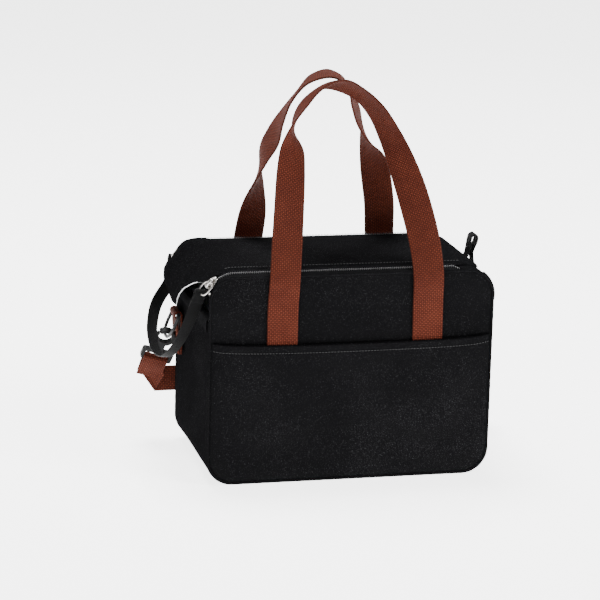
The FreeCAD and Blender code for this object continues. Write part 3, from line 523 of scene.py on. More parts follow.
for side, way, seed in (("front", -1, 21), ("back", 1, 22)):
    inner_y = abs(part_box(f"{side}_lining")[0 if way > 0 else 1].y)
    x, z = panel_grid(FOAM_TOP, 90, 7 * MM, 7 * MM)
    rough = crumple(x, z, seed, 0.35 * MM)
    face = xyz(x, way * (inner_y + rough - 0.1 * MM), z)
    back_face = xyz(x, way * (inner_y + rough + 0.25 * MM), z)
    lining = thick_sheet(f"{side}_foil", back_face, face, foil)
    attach(lining, "bag")
    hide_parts(f"{side}_lining")

wrap_foil = wrap_sheet("wrap_foil", 6.5 * MM, 0.5 * MM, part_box("wrap_lining")[1].y - 0.2 * MM, RIM_LEFT,
                       HINGE_X + 7 * MM, foil, 1.6)
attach(wrap_foil, "bag")
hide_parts("wrap_lining")

board_low, board_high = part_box("base_board")
t = np.linspace(-1, 1, 40)
bx, by = np.meshgrid(t * board_high.x, t * board_high.y, indexing="ij")
wave = hollows(bx, by, 33, 0.25 * MM)
board = thick_sheet("base_pad", xyz(bx, by, board_high.z + wave),
                    xyz(bx, by, board_low.z), foil)
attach(board, "bag")
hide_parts("base_board")

# ----------------------------------------------------------
# Bindings: black tape folded over the raw edges, so no foam shows: over the left rim, over the tops and
# the left ends of the front and back walls, and round the end of the wrap at the hinge.
# ----------------------------------------------------------
# The fourth colour is the painted glint colour.
binding_tape = black_cloth("binding_tape", (0.0045, 0.0045, 0.005), (0.0085, 0.0085, 0.009),
                           (0.03, 0.03, 0.03), 6500.0, 0.7)
BINDING_THICK = 0.7 * MM
WALL_Y = 79.2 * MM


def travelled(path):
    """How far each point of a path lies along it."""
    return np.append(0, np.cumsum(np.linalg.norm(np.diff(path, axis=0), axis=1)))


def smooth_path(points, count):
    """A smooth curve through rows of values, x, y and z first: cubic pieces whose slopes come from the
    neighbours on each side, read again at even lengths."""
    p = np.asarray(points, float)
    t = travelled(p[:, :3])
    slope = np.gradient(p, t, axis=0)
    fine = np.linspace(0, t[-1], 60 * len(p))
    k = np.clip(np.searchsorted(t, fine, side="right") - 1, 0, len(t) - 2)
    h = (t[k + 1] - t[k])[:, None]
    f = (fine - t[k])[:, None] / h
    curve = ((2 * f ** 3 - 3 * f ** 2 + 1) * p[k] + (f ** 3 - 2 * f ** 2 + f) * h * slope[k]
             + (3 * f ** 2 - 2 * f ** 3) * p[k + 1] + (f ** 3 - f ** 2) * h * slope[k + 1])
    s = travelled(curve[:, :3])
    even = np.linspace(0, s[-1], count)
    return np.stack([np.interp(even, s, curve[:, i]) for i in range(p.shape[1])], 1)


def fold_over(name, profile, carry):
    """A tape whose section is a line of points, each two numbers in mm, carried along by the function
    carry. It gives the points for a share of the run and such a pair. The tape lies outside the line."""
    line = smooth_path(np.array([(a, b, 0) for a, b in profile]) * MM, 40)
    ahead = unit(np.gradient(line, axis=0))
    beyond = line + xyz(-ahead[:, 1], ahead[:, 0], 0) * BINDING_THICK
    run = np.linspace(-1, 1, 60)
    grids = [carry(run[:, None], lay[None, :, 0], lay[None, :, 1]) for lay in (beyond, line)]
    tape = thick_sheet(name, *grids, binding_tape)
    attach(tape, "bag")


# Over the left rim: out is how far in from the wrap's left face.
fold_over("left_rim_binding",
          [(7.6, 150), (7.7, 157), (7.0, 161.4), (3.4, 162.4), (-0.4, 161.4), (-1.2, 157), (-1.1, 150)],
          lambda t, out, z: xyz(-HALF_WIDE + out + DRAWN_IN * (1 - t ** 4) * 0.75, t * 73.4 * MM, z))
# Over a wall's top and its left end: out is how far in from the panel's seam.
WALL_TOP = [(6.9, 165), (7.1, 171), (6.4, 175.2), (3.6, 176.2), (1.6, 175.6), (1.0, 171)]
WALL_END = [(7.0, -129), (7.1, -134.5), (6.3, -137.1), (3.8, -137.7), (1.7, -137.1), (1.0, -134.5)]
for side, way in SIDES:
    fold_over(f"{side}_wall_binding", WALL_TOP if way > 0 else WALL_TOP[::-1],
              lambda t, out, z, way=way: xyz(t * 134 * MM, way * (WALL_Y - out), z))
    fold_over(f"{side}_wall_end_binding", WALL_END,
              lambda t, out, x, way=way: xyz(x, way * (WALL_Y - out), (166.5 + 8.6 * t) * MM))
fold_over("hinge_binding",
          [(125, 196.4), (120, 196.6), (118.4, 197.6), (118.3, 200), (117.6, 202.4), (114, 203.0),
           (108.5, 202.9)],
          lambda t, x, z: xyz(x, t * 71 * MM, z))

# ----------------------------------------------------------
# Piping: bias-cut cloth sewn round a 2 mm cord, in the seam between each panel and the gusset. The
# strip puckers slightly along its stitches.
# ----------------------------------------------------------
# The fourth colour is the painted glint colour.
piping_cloth = black_cloth("piping_cloth", (0.0030, 0.0030, 0.0033), (0.0056, 0.0056, 0.0060),
                           (0.03, 0.03, 0.032), 5200.0, 0.6)
PIPING_IN = 1.5 * MM
PIPING_Y = 79.25 * MM
PIPING_R = 1.42 * MM
PIPING_POINTS = 560


def rounded_path(half, low, high, r, count):
    """A rounded rectangle in XZ, as evenly spaced points from the middle of its foot round to +X."""
    a = np.linspace(0, math.pi / 2, 30)
    cx, lo, hi = half - r, low + r, high - r
    x = np.concatenate([[0], cx + r * np.sin(a), cx + r * np.cos(a), -cx - r * np.sin(a),
                        -cx - r * np.cos(a), [0]])
    z = np.concatenate([[low], lo - r * np.cos(a), hi + r * np.sin(a), hi + r * np.cos(a),
                        lo - r * np.sin(a), [low]])
    s = np.append(0, np.cumsum(np.hypot(np.diff(x), np.diff(z))))
    even = np.linspace(0, s[-1], count, endpoint=False)
    return np.interp(even, s, x), np.interp(even, s, z), s[-1]


def tube(name, path, radius, material, closed=False, sides=10):
    """A round tube along a path: circles square to the path, radius one number or one for each point."""
    along = unit(np.roll(path, -1, 0) - np.roll(path, 1, 0) if closed else np.gradient(path, axis=0))
    spare = np.where(np.abs(along[:, 1:2]) < 0.9, [[0.0, 1.0, 0.0]], [[1.0, 0.0, 0.0]])
    one = unit(np.cross(along, spare))
    two = np.cross(along, one)
    a = np.linspace(0, 2 * math.pi, sides, endpoint=False)
    r = np.broadcast_to(np.asarray(radius, float), len(path))[:, None, None]
    spoke = np.cos(a)[None, :, None] * one[:, None] + np.sin(a)[None, :, None] * two[:, None]
    points = path[:, None] + r * spoke
    return make_mesh(name, points.reshape(-1, 3), grid_faces(len(path), sides, closed, True), material)


for side, way in SIDES:
    x, z, length = rounded_path(HALF_WIDE - PIPING_IN, PIPING_IN, TALL - PIPING_IN, CORNER - PIPING_IN,
                                PIPING_POINTS)
    s = np.arange(PIPING_POINTS) / PIPING_POINTS * length
    pucker = 0.07 * MM * np.sin(s / (1.6 * MM))
    cord = tube(f"{side}_piping_cord", xyz(x, way * PIPING_Y, z), PIPING_R + pucker, piping_cloth, True)
    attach(cord, "bag")
    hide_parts(f"{side}_piping")

# ----------------------------------------------------------
# Front pocket: one sheet of shell cloth, sewn into the side seams and the foot, with its top edge
# turned under and stitched. It stands a little away from the panel and dips at the middle.
# ----------------------------------------------------------
POCKET_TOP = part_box("front_pocket")[1].z
POCKET_FACE = -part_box("front_pocket")[0].y


def pocket_surface(u, v):
    """The pocket's outer face. u runs from -1 to 1 across, v from 0 at the foot to 1 at the top edge.
    It rises from the seams, stands out most at the top, and has a few slow hollows."""
    low, r = SEAM_IN, CORNER - SEAM_IN
    top = POCKET_TOP - 1.6 * MM * (1 - u ** 2) + 2.5 * MM * np.abs(u) ** 6
    z = low + (top - low) * v
    off = np.maximum(low + r - z, 0)
    half = HALF_WIDE - SEAM_IN - r + np.sqrt(np.maximum(r ** 2 - off ** 2, 0))
    x = u * half
    gap = np.maximum(edge_gap(x, z, SEAM_IN), 0)
    full = (1 - np.exp(-gap / (7 * MM))) * (0.62 + 0.38 * np.clip(v, 0, 1) ** 1.5)
    y = -PANEL_SEAM_Y - (POCKET_FACE - PANEL_SEAM_Y - 0.5 * MM) * full
    y = y - hollows(x, z, 14, 0.7 * MM) * np.minimum(gap / 0.04, 1)
    return xyz(x, y, z)


u = np.linspace(-1, 1, 90)
u = 0.5 * u + 0.5 * np.sin(u * math.pi / 2)
v = np.concatenate([1 - np.cos(np.linspace(0, math.pi / 2, 9)[:-1]), [1]])
v = np.concatenate([v[:-1] * 0.19, np.linspace(0.19, 1, 44)])
pu, pv = np.meshgrid(u, v, indexing="ij")
outer = pocket_surface(pu, pv)
inner = outer + np.array([0, CLOTH, 0])
pocket = thick_sheet("pocket_sheet", outer, inner, shell_cloth, outer[..., [0, 2]])
smoother(pocket)
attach(pocket, "bag")
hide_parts("front_pocket")

HEM_DEEP, HEM_SEWN = 9 * MM, 7 * MM
hem_v = np.linspace(1 - HEM_DEEP / POCKET_TOP, 1.004, 8)
hu, hv = np.meshgrid(u * 0.985, hem_v, indexing="ij")
hem_face = pocket_surface(hu, hv) + np.array([0, 1.35 * MM, 0])
hem = thick_sheet("pocket_hem_fold", hem_face, hem_face + np.array([0, 0.9 * MM, 0]), shell_cloth)
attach(hem, "bag")
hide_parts("pocket_hem")


def beads(name, points, material):
    """One mesh of many small pieces, each four rings of six points with a face over each end."""
    one = np.vstack([grid_faces(4, 6, False, True),
                     [[0, 1, 2, 3], [0, 3, 4, 5], [21, 20, 19, 18], [23, 22, 21, 18]]])
    faces = one[None] + (np.arange(len(points)) * 24)[:, None, None]
    return make_mesh(name, points.reshape(-1, 3), faces.reshape(-1, 4), material)


THREAD_R = 0.28 * MM


def stitch_row(name, path, out, thread, pitch=3.0 * MM, long=2.2 * MM):
    """A row of stitches on a path: each a small six-sided spindle that lies along it, half sunk. out is
    the direction that the cloth faces, one for all or one for each point of the path."""
    s = travelled(path)
    count = max(int(s[-1] / pitch), 1)
    mid = (np.arange(count) + 0.5) * s[-1] / count

    def read(values, at):
        return np.stack([np.interp(at, s, values[:, i]) for i in range(3)], 1)

    centre = read(path, mid)
    along = unit(read(path, np.minimum(mid + 0.5 * MM, s[-1])) - read(path, np.maximum(mid - 0.5 * MM, 0)))
    face = read(np.broadcast_to(np.asarray(out, float), path.shape), mid)
    side = unit(np.cross(along, face))
    face = np.cross(side, along)
    reach, fat = np.array([-0.5, -0.3, 0.3, 0.5]), np.array([0.35, 1.0, 1.0, 0.35])
    a = np.linspace(0, 2 * math.pi, 6, endpoint=False)
    ring = (reach[:, None, None] * long * along[:, None, None]
            + fat[:, None, None] * THREAD_R * (np.cos(a)[:, None] * side[:, None, None]
                                               + np.sin(a)[:, None] * face[:, None, None]))
    return beads(name, centre[:, None, None] + ring + 0.3 * THREAD_R * face[:, None, None], thread)


TWIST = (2600.0, 1.0)
black_thread = speckled("black_thread", 0.5, 0.0, TWIST,
                        (0.0023, 0.0023, 0.0025), (0.0054, 0.0054, 0.0056))[0]

sewn_u = np.linspace(-0.985, 0.985, 200)
hem_line = pocket_surface(sewn_u, np.full(200, 1 - HEM_SEWN / POCKET_TOP))
row = stitch_row("pocket_hem_stitches", hem_line, (0, -1, 0), black_thread)
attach(row, "bag")

# ----------------------------------------------------------
# Zips: two coil zips side by side. Each tape is a closely woven ribbon that slopes from the lid's edge
# down to the panel's seam, with a row of moulded loops along each half that lock at the middle.
# ----------------------------------------------------------
CORNER_X = -HALF_WIDE + CORNER
CORNER_Z = TALL - CORNER
ZIP_R = CORNER + 1 * MM
ZIP_Y = 71 * MM
DIP_AT, DIP_DEEP = 214 * MM, 2.4 * MM


def round_top(s, y, lift=0.0):
    """A point on the zip's surface. s is the length from the corner's start: along the top to +X where
    s > 0, and round the left corner where s < 0. The surface slopes down towards the panels, and dips by
    2.4 mm at the right end, to pass under the short tape there."""
    radius = ZIP_R + lift - 0.2 * (np.abs(y) - ZIP_Y)
    turn = np.maximum(-s, 0) / ZIP_R
    radius = radius - DIP_DEEP * np.clip((s - DIP_AT) / (6 * MM), 0, 1)
    x = CORNER_X + np.maximum(s, 0) - radius * np.sin(turn)
    z = CORNER_Z + radius * np.cos(turn)
    return xyz(x, y, z)


# The fourth colour is the painted glint colour.
zip_tape = black_cloth("zip_tape", (0.0040, 0.0040, 0.0044), (0.0075, 0.0075, 0.008),
                       (0.02, 0.02, 0.02), 7500.0, 0.7)
coil, tree, shader, _ = speckled("zip_coil", 0.28, 0.0, (500.0, 2.0),
                                 (0.010, 0.010, 0.011), (0.085, 0.085, 0.088))
shader["Specular IOR Level"].default_value = 0.7

ZIP_END = 221.2 * MM
TOOTH_PITCH = 2.1 * MM
LOOP = np.array([[-0.20, 0.25], [0.20, 0.25], [0.36, 0.62], [0.12, 1.0], [-0.12, 1.0], [-0.36, 0.62]])


def zip_teeth(name, sign, first, way, last):
    """A row of coil loops: low blocks square to the zip, fat at the middle line and thin at the tape,
    each standing across from 0.35 mm past the line at first to 1.9 mm the other way."""
    s = np.arange(last, ZIP_END, TOOTH_PITCH) + (0.5 * TOOTH_PITCH if way > 0 else 0)
    reach = np.array([-0.35, 0.25, 1.0, 1.9]) * MM
    fat = np.array([0.55, 1.0, 0.85, 0.55])
    along = LOOP[:, 0][None] * fat[:, None] * 1.35 * MM
    lift = (LOOP[:, 1][None] * fat[:, None] - 0.35) * 1.5 * MM
    across = np.repeat(reach[:, None], 6, 1)
    ss = s[:, None, None] + along[None]
    return beads(name, round_top(ss, sign * (first + way * across)[None], lift[None]), coil)


TURN_BAG, TURN_LID = 66 * ZIP_R * math.pi / 180, 34 * ZIP_R * math.pi / 180
for side, way in SIDES:
    for part, body, near, far, turn in (("bag", "bag", 71.5 * MM, 78.9 * MM, TURN_BAG),
                                        ("lid", "lid", 63.0 * MM, 70.5 * MM, TURN_LID)):
        gs, gy = np.meshgrid(np.linspace(-turn, ZIP_END, 150), np.linspace(near, far, 7), indexing="ij")
        dip = -0.25 * MM * np.sin((gy - near) / (far - near) * math.pi)
        tape = thick_sheet(f"{side}_{part}_zip_tape", round_top(gs, way * gy, dip),
                           round_top(gs, way * gy, dip - 0.6 * MM), zip_tape)
        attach(tape, body)
        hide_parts(f"{side}_{part}_tape")
        teeth = zip_teeth(f"{side}_{part}_coil", way, ZIP_Y, 1 if part == "bag" else -1, -TURN_LID)
        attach(teeth, body)
        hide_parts(f"{side}_{part}_teeth")

# ----------------------------------------------------------
# Sliders: die-cast zinc with a nickel finish. A shield-shaped top plate with a raised rim and a sunk
# face, a lower plate, a bridge over the top, and a round-wire ring through the bridge.
# ----------------------------------------------------------
nickel, tree, shader, grime = speckled("nickel", 0.2, 1.0, (350.0, 4.0, 0.65),
                                       (0.30, 0.28, 0.26), (0.74, 0.72, 0.70))
tree.links.new(maths(tree, "MULTIPLY_ADD", grime, 0.3, 0.1), shader["Roughness"])
tree.links.new(bump(tree, grime, 0.0002, 0.5), shader["Normal"])

SLIDER_TURN = math.radians(50)
SLIDER_ROLL = math.radians(30)
WIRE_R = 0.85 * MM
TOP_FACE = CORNER_Z + ZIP_R


def turned(points, way):
    """From flat on the zip at the corner's start, with x and z measured there: rolled a little about the
    zip's line towards the nearer panel, as the sloping tape holds it, then turned round the left corner."""
    x, y, up = points[..., 0] - CORNER_X, points[..., 1] - way * ZIP_Y, points[..., 2] - CORNER_Z - ZIP_R
    rolled = y * math.cos(SLIDER_ROLL) + way * up * math.sin(SLIDER_ROLL)
    z = ZIP_R + up * math.cos(SLIDER_ROLL) - way * y * math.sin(SLIDER_ROLL)
    return xyz(CORNER_X + x * math.cos(SLIDER_TURN) - z * math.sin(SLIDER_TURN), rolled + way * ZIP_Y,
               CORNER_Z + x * math.sin(SLIDER_TURN) + z * math.cos(SLIDER_TURN))


def shield(a):
    """The outline of the slider's plate at angle a: a shoulder on each side, a nose towards +X."""
    px = 6.6 * MM * np.sign(np.cos(a)) * np.abs(np.cos(a)) ** 0.75
    py = 4.9 * MM * np.sign(np.sin(a)) * np.abs(np.sin(a)) ** 0.62
    return px, py * (1 - 0.34 * (px / (6.6 * MM)))


def plate(name, y, levels, material):
    """A cast plate: its outline at a row of (share of the outline, height above the zip) levels."""
    a = np.linspace(0, 2 * math.pi, 72, endpoint=False)
    px, py = shield(a)
    rows = [xyz(CORNER_X + px * share, y + py * share, TOP_FACE + up * MM) for share, up in levels]
    points = turned(np.stack(rows), np.sign(y)).reshape(-1, 3)
    return make_mesh(name, points, grid_faces(len(levels), 72, False, True), material)


TOP_LEVELS = [(0.05, 2.35), (0.45, 2.35), (0.72, 2.3), (0.78, 2.75), (0.84, 3.0), (0.92, 3.0),
              (0.99, 2.7), (1.0, 2.3), (0.98, 1.75), (0.9, 1.55), (0.4, 1.55), (0.05, 1.55)]
LOW_LEVELS = [(0.05, -1.5), (0.9, -1.5), (0.99, -1.7), (1.0, -2.2), (0.93, -2.8), (0.5, -2.9),
              (0.05, -2.9)]


def bridge_path(y):
    """The line of the bridge over the slider's plate: up from the tail, flat, and down near the nose."""
    t = np.linspace(0, math.pi, 26)
    bx = CORNER_X - 0.6 * MM - 3.8 * MM * np.cos(t)
    bz = TOP_FACE + 2.3 * MM + 2.6 * MM * np.abs(np.sin(t)) ** 0.6
    return turned(xyz(bx, y, bz), np.sign(y))


for side, way in SIDES:
    y = way * ZIP_Y
    top = plate(f"{side}_slider_top", y, TOP_LEVELS, nickel)
    low_plate = plate(f"{side}_slider_foot", y, LOW_LEVELS, nickel)
    t = np.linspace(0, math.pi, 26)
    bridge = tube(f"{side}_slider_bridge", bridge_path(y), WIRE_R + 0.35 * MM * np.sin(t), nickel, sides=12)
    post_line = xyz(CORNER_X + 3 * MM, y, TOP_FACE + np.linspace(-1.7, 1.7, 6) * MM)
    post = tube(f"{side}_slider_post", turned(post_line, way), 1.0 * MM, nickel, sides=12)
    for piece in (top, low_plate, bridge, post):
        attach(piece, "sliders")
    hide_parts(f"{side}_slider")
    a = np.linspace(0, 2 * math.pi, 64, endpoint=False)
    ox = 6.9 * MM * np.sign(np.cos(a)) * np.abs(np.cos(a)) ** 0.8
    oy = 5.6 * MM * np.sign(np.sin(a)) * np.abs(np.sin(a)) ** 0.8
    loop = xyz(CORNER_X - 7.6 * MM + ox, y + oy, TOP_FACE + 4.0 * MM)
    ring = tube(f"{side}_pull_ring", turned(loop, way), WIRE_R, nickel, True, 12)
    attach(ring, f"{side}_ring")
    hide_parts(f"{side}_ring")
    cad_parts[f"{side}_zip_stop"].data.materials[0] = nickel

# ----------------------------------------------------------
# Handles: polyester webbing 30 mm wide, in a coarse basket weave. Each is one length, sewn flat to the
# panel at both feet; above the bag it twists, so that its edge leads over the crown.
# ----------------------------------------------------------
basket, basket_in, basket_out = new_group(
    "basket_weave", [("Vector", "NodeSocketVector", None), ("Across", "NodeSocketFloat", 2.1),
                     ("Along", "NodeSocketFloat", 2.3)],
    [("Height", "NodeSocketFloat"), ("Fuzz", "NodeSocketFloat")])
parts = basket.nodes.new("ShaderNodeSeparateXYZ")
basket.links.new(basket_in["Vector"], parts.inputs[0])
rise = []
for axis, pitch in ((0, "Across"), (1, "Along")):
    angle = maths(basket, "MULTIPLY", parts.outputs[axis], 2000 * math.pi)
    rise.append(maths(basket, "COSINE", maths(basket, "DIVIDE", angle, basket_in[pitch])))
knots = maths(basket, "MULTIPLY", *rise)
knots = maths(basket, "MAXIMUM", knots, maths(basket, "MULTIPLY", knots, -0.35))
basket.links.new(maths(basket, "POWER", knots, 0.6), basket_out["Height"])
basket.links.new(noise(basket, basket_in["Vector"], 2400.0, 2.0, 0.7), basket_out["Fuzz"])


def woven(name, gap, yarn, bright, across, along, depth=0.0006, rough=0.75):
    """Webbing: painted shade between the yarns, lighter on their crowns, with fibres and slow fading."""
    made, tree, shader, place = new_material(name, rough)
    weave = place_group(tree, basket, place["UV"], Across=across, Along=along)
    worn = noise(tree, place["Object"], 55.0, 3.0, 0.6)
    crown = mix_colour(tree, maths(tree, "MULTIPLY_ADD", worn, 1.1, -0.05), yarn, bright)
    fibres = maths(tree, "MULTIPLY_ADD", weave["Fuzz"], 0.9, 0.45)
    height = maths(tree, "MULTIPLY", weave["Height"], fibres, clamp=True)
    # Painted shade: where the weave is low, between the yarns, the colour goes to gap.
    tree.links.new(mix_colour(tree, height, gap, crown), shader["Base Color"])
    tree.links.new(bump(tree, height, depth, 0.9), shader["Normal"])
    shader["Specular IOR Level"].default_value = 0.08
    return made


# The first colour is the painted shade between the yarns.
rust_webbing = woven("rust_webbing", (0.017, 0.0026, 0.0012), (0.074, 0.0125, 0.0055),
                     (0.175, 0.039, 0.0185), 3.9, 3.6)
HANDLE_WIDE, HANDLE_THICK = 30 * MM, 2.0 * MM


def band(name, centre, side, width, thick, material, cup=0.0):
    """A flat band along a path. Its section is a flat bar with half-round edges, width along side and
    thickness square to side and path; cup bends the section up at its edges. side, width and cup are
    each one for the whole path or one for each point."""
    along = unit(np.gradient(centre, axis=0))
    side = np.broadcast_to(np.asarray(side, float), centre.shape)
    side = unit(side - along * (side * along).sum(1, keepdims=True))
    face = np.cross(along, side)
    width = np.broadcast_to(np.asarray(width, float), len(centre))[:, None]
    cup = np.broadcast_to(np.asarray(cup, float), len(centre))[:, None]
    flat = np.linspace(-1, 1, 16)
    a = np.radians([60, 20, -20, -60])
    core = np.concatenate([flat, np.ones(4), -flat, -np.ones(4)])[None]
    round_out = np.concatenate([0 * flat, np.cos(a), 0 * flat, -np.cos(a)])[None]
    up = np.concatenate([0 * flat + 1, np.sin(a), 0 * flat - 1, -np.sin(a)])[None]
    spread = core * (width - thick) / 2 + round_out * thick / 2
    lift = up * thick / 2 + cup * (2 * spread / width) ** 2
    points = centre[:, None] + spread[..., None] * side[:, None] + lift[..., None] * face[:, None]
    uv = xyz(spread, travelled(centre)[:, None], 0)[..., :2]
    faces = grid_faces(len(centre), points.shape[1], False, True)
    return make_mesh(name, points.reshape(-1, 3), faces, material, uv.reshape(-1, 2))


# Each row: x, y, z in mm, how far the band is twisted in degrees, and how far its edges curl up in mm.
FRONT_LINE = [(-69, -82.4, 140.3, 0, 0), (-69, -82.4, 172, 0, 0), (-67.5, -82.2, 202, -2, 0),
              (-64.5, -73.5, 230, -4, 0.3), (-59.5, -58, 265, -8, 0.6), (-54.5, -42, 298, -16, 0.8),
              (-51.5, -34, 315, -30, 0.8), (-48.5, -24, 338, -84, 0.2), (-41, -18, 352, -100, -0.6),
              (-28.5, -12, 366, -101, -1.6), (-12, -8, 374, -94, -2.2), (3, -8, 373.2, -84, -2.2),
              (20.5, -12.8, 364, -84, -2.0), (34, -19.7, 349, -76, -1.6), (44.5, -29, 328, -64, -1.2),
              (56.5, -43.7, 294.5, -42, -0.8), (67, -62, 252, -18, -0.4), (71, -75, 225, -7, 0),
              (72.6, -82.2, 202, -2, 0), (73, -82.4, 172, 0, 0), (73.5, -82.4, 140.3, 0, 0)]
BACK_LINE = [(-69, 82.4, 140.3, 0, 0), (-69, 82.4, 172, 0, 0), (-67.5, 82.2, 202, -3, 0),
             (-66, 73, 228, -10, 0.4), (-66, 62, 254, -40, 0.5), (-65, 51, 278, -72, 0.4),
             (-62, 42, 298, -92, 0), (-56, 35, 314, -97, -0.5), (-49, 24, 338, -78, -0.8),
             (-40, 16, 358, -64, -0.6), (-25.5, 10, 376, -66, -0.4), (-7, 6, 381.5, -72, -0.6),
             (7, 9, 374, -82, -0.8), (18, 18, 356, -98, -0.8), (29, 28, 334, -104, -0.4),
             (38, 36, 314, -84, 0), (46, 43, 298, -52, 0.4), (55, 55, 270, -20, 0.6),
             (63, 68, 238, -8, 0.4), (68, 82.0, 204, -2, 0), (70, 82.4, 172, 0, 0),
             (70, 82.4, 140.3, 0, 0)]
LEAN = math.radians(24.5)
LEAN_FROM, LEAN_OVER = 195 * MM, 40 * MM


def handle(name, rows, way):
    """A handle from its line. At each point the band's width lies between two directions, by its twist:
    inwards, in the plane that both legs share, and square to that plane, towards the front."""
    path = smooth_path(np.array(rows) * (MM, MM, MM, 1, MM), 520)
    centre, twist = path[:, :3], np.radians(path[:, 3])
    along = unit(np.gradient(centre, axis=0))
    share = np.clip((centre[:, 2] - LEAN_FROM) / LEAN_OVER, 0, 1)
    lean = LEAN * share ** 2 * (3 - 2 * share)
    square = xyz(0, -np.cos(lean), -way * np.sin(lean))
    square = unit(square - along * (square * along).sum(1, keepdims=True))
    inward = np.cross(along, square)
    side = np.cos(twist)[:, None] * inward + np.sin(twist)[:, None] * square
    return band(name, centre, side, HANDLE_WIDE, HANDLE_THICK, rust_webbing, path[:, 4])


for side, way, rows in (("front", -1, FRONT_LINE), ("back", 1, BACK_LINE)):
    carrying = handle(f"{side}_handle", rows, way)
    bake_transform(carrying)
    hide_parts(f"{side}_handle_legs", f"{side}_handle_arch")

rust_thread = speckled("rust_thread", 0.55, 0.0, TWIST, (0.16, 0.035, 0.016), (0.34, 0.085, 0.042))[0]
RUST_STITCH = (2.8 * MM, 2.1 * MM)


def straight_runs(route, count):
    """A route of straight runs, each read at count points."""
    return np.concatenate([np.linspace(route[i], route[i + 1], count) for i in range(len(route) - 1)])


for side, way in SIDES:
    foot_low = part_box(f"{side}_handle_feet")[0].z
    for end, foot_x in (("left", -69 * MM), ("right", (73.5 if way < 0 else 70) * MM)):
        z = np.linspace(foot_low, 140.4 * MM, 40)
        out = 81.3 * MM + 1.1 * MM * np.clip((z - 126 * MM) / (14 * MM), 0, 1) ** 2
        foot = band(f"{side}_{end}_handle_foot", xyz(foot_x, way * out, z), (1, 0, 0), HANDLE_WIDE,
                    HANDLE_THICK, rust_webbing)
        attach(foot, "bag")
        if end == "left":
            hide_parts(f"{side}_handle_feet")
        left, right = foot_x - 11.5 * MM, foot_x + 11.5 * MM
        low, high = foot_low + 3 * MM, foot_low + 23 * MM
        box_line = [(left, low), (right, low), (right, high), (left, high), (left, low), (right, high)]
        for part, corners in (("box", box_line), ("cross", [(left, high), (right, low)])):
            x, z = np.array(corners).T
            sewn = stitch_row(f"{side}_{end}_foot_{part}_stitch",
                              straight_runs(xyz(x, way * 82.4 * MM, z), 30), (0, way, 0), rust_thread,
                              *RUST_STITCH)
            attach(sewn, "bag")

# ----------------------------------------------------------
# Lid: shell cloth over foam, cut with a tongue that folds over the left end. Its long edges are turned
# down to the zips; at the right it runs on into the end of the bag.
# ----------------------------------------------------------
LID_R = CORNER + 4 * MM
LID_TURN = math.radians(66)
TONGUE = 39 * MM
LID_HALF = 65.5 * MM
FLARE_AT = np.array([0, 7, 16, 25, 33, 39]) * MM
FLARE = np.array([0, 2.6, 3.4, 1.6, -2.2, -5.4]) * MM
LID_END = 127 * MM


def lid_line(s, depth):
    """The lid's profile in XZ at a length s from the corner's start, and a depth below its face: the top
    to +X where s > 0, then the bend round the left corner, then the tongue, which stands off and then
    curls in."""
    r = LID_R - depth
    turn = np.clip(-s / LID_R, 0, LID_TURN)
    rest = np.maximum(-s - LID_TURN * LID_R, 0)
    flare = np.interp(rest, FLARE_AT, FLARE)
    x = CORNER_X + np.maximum(s, 0) - r * np.sin(turn) - rest * np.cos(LID_TURN) - flare * np.sin(LID_TURN)
    z = CORNER_Z + r * np.cos(turn) - rest * np.sin(LID_TURN) + flare * np.cos(LID_TURN)
    return x, z


BEND_S = -LID_TURN * LID_R
S_TOP = np.concatenate([np.linspace(LID_END - CORNER_X, 0, 70), np.linspace(0, BEND_S + 10 * MM, 14)[1:],
                        np.linspace(BEND_S + 10 * MM, BEND_S - 4 * MM, 22)[1:],
                        np.linspace(BEND_S - 4 * MM, BEND_S - TONGUE, 26)[1:]])
CUT_AT = np.array([-9, -4, 0.5, 3, 18, 31, 39]) * MM
CUT_FRONT = np.array([0, 4, 27, 35.5, 61, 80, 88.5]) * MM
REAR_AT = np.array([12, 18, 23, 31, 39]) * MM
CUT_REAR = np.array([0, 1.2, 6, 21, 36.5]) * MM


def lid_half(s, narrow=0.0):
    """Half the lid's width at s: 65.5 mm along the zips, drawn in at the hinge end. Over the tongue both
    sides are cut back to a blunt point behind the middle; the front side's cut starts at the corner."""
    rest = -(s - BEND_S)
    near_end = np.clip((s - (HINGE_X - CORNER_X)) / (16 * MM), 0, 1)
    base = LID_HALF - 2.0 * MM * near_end - narrow
    spread = 6 * MM * np.clip((8 * MM - s) / (30 * MM), 0, 1)
    return base - np.interp(rest, CUT_AT, CUT_FRONT), base + spread - np.interp(rest, REAR_AT, CUT_REAR)


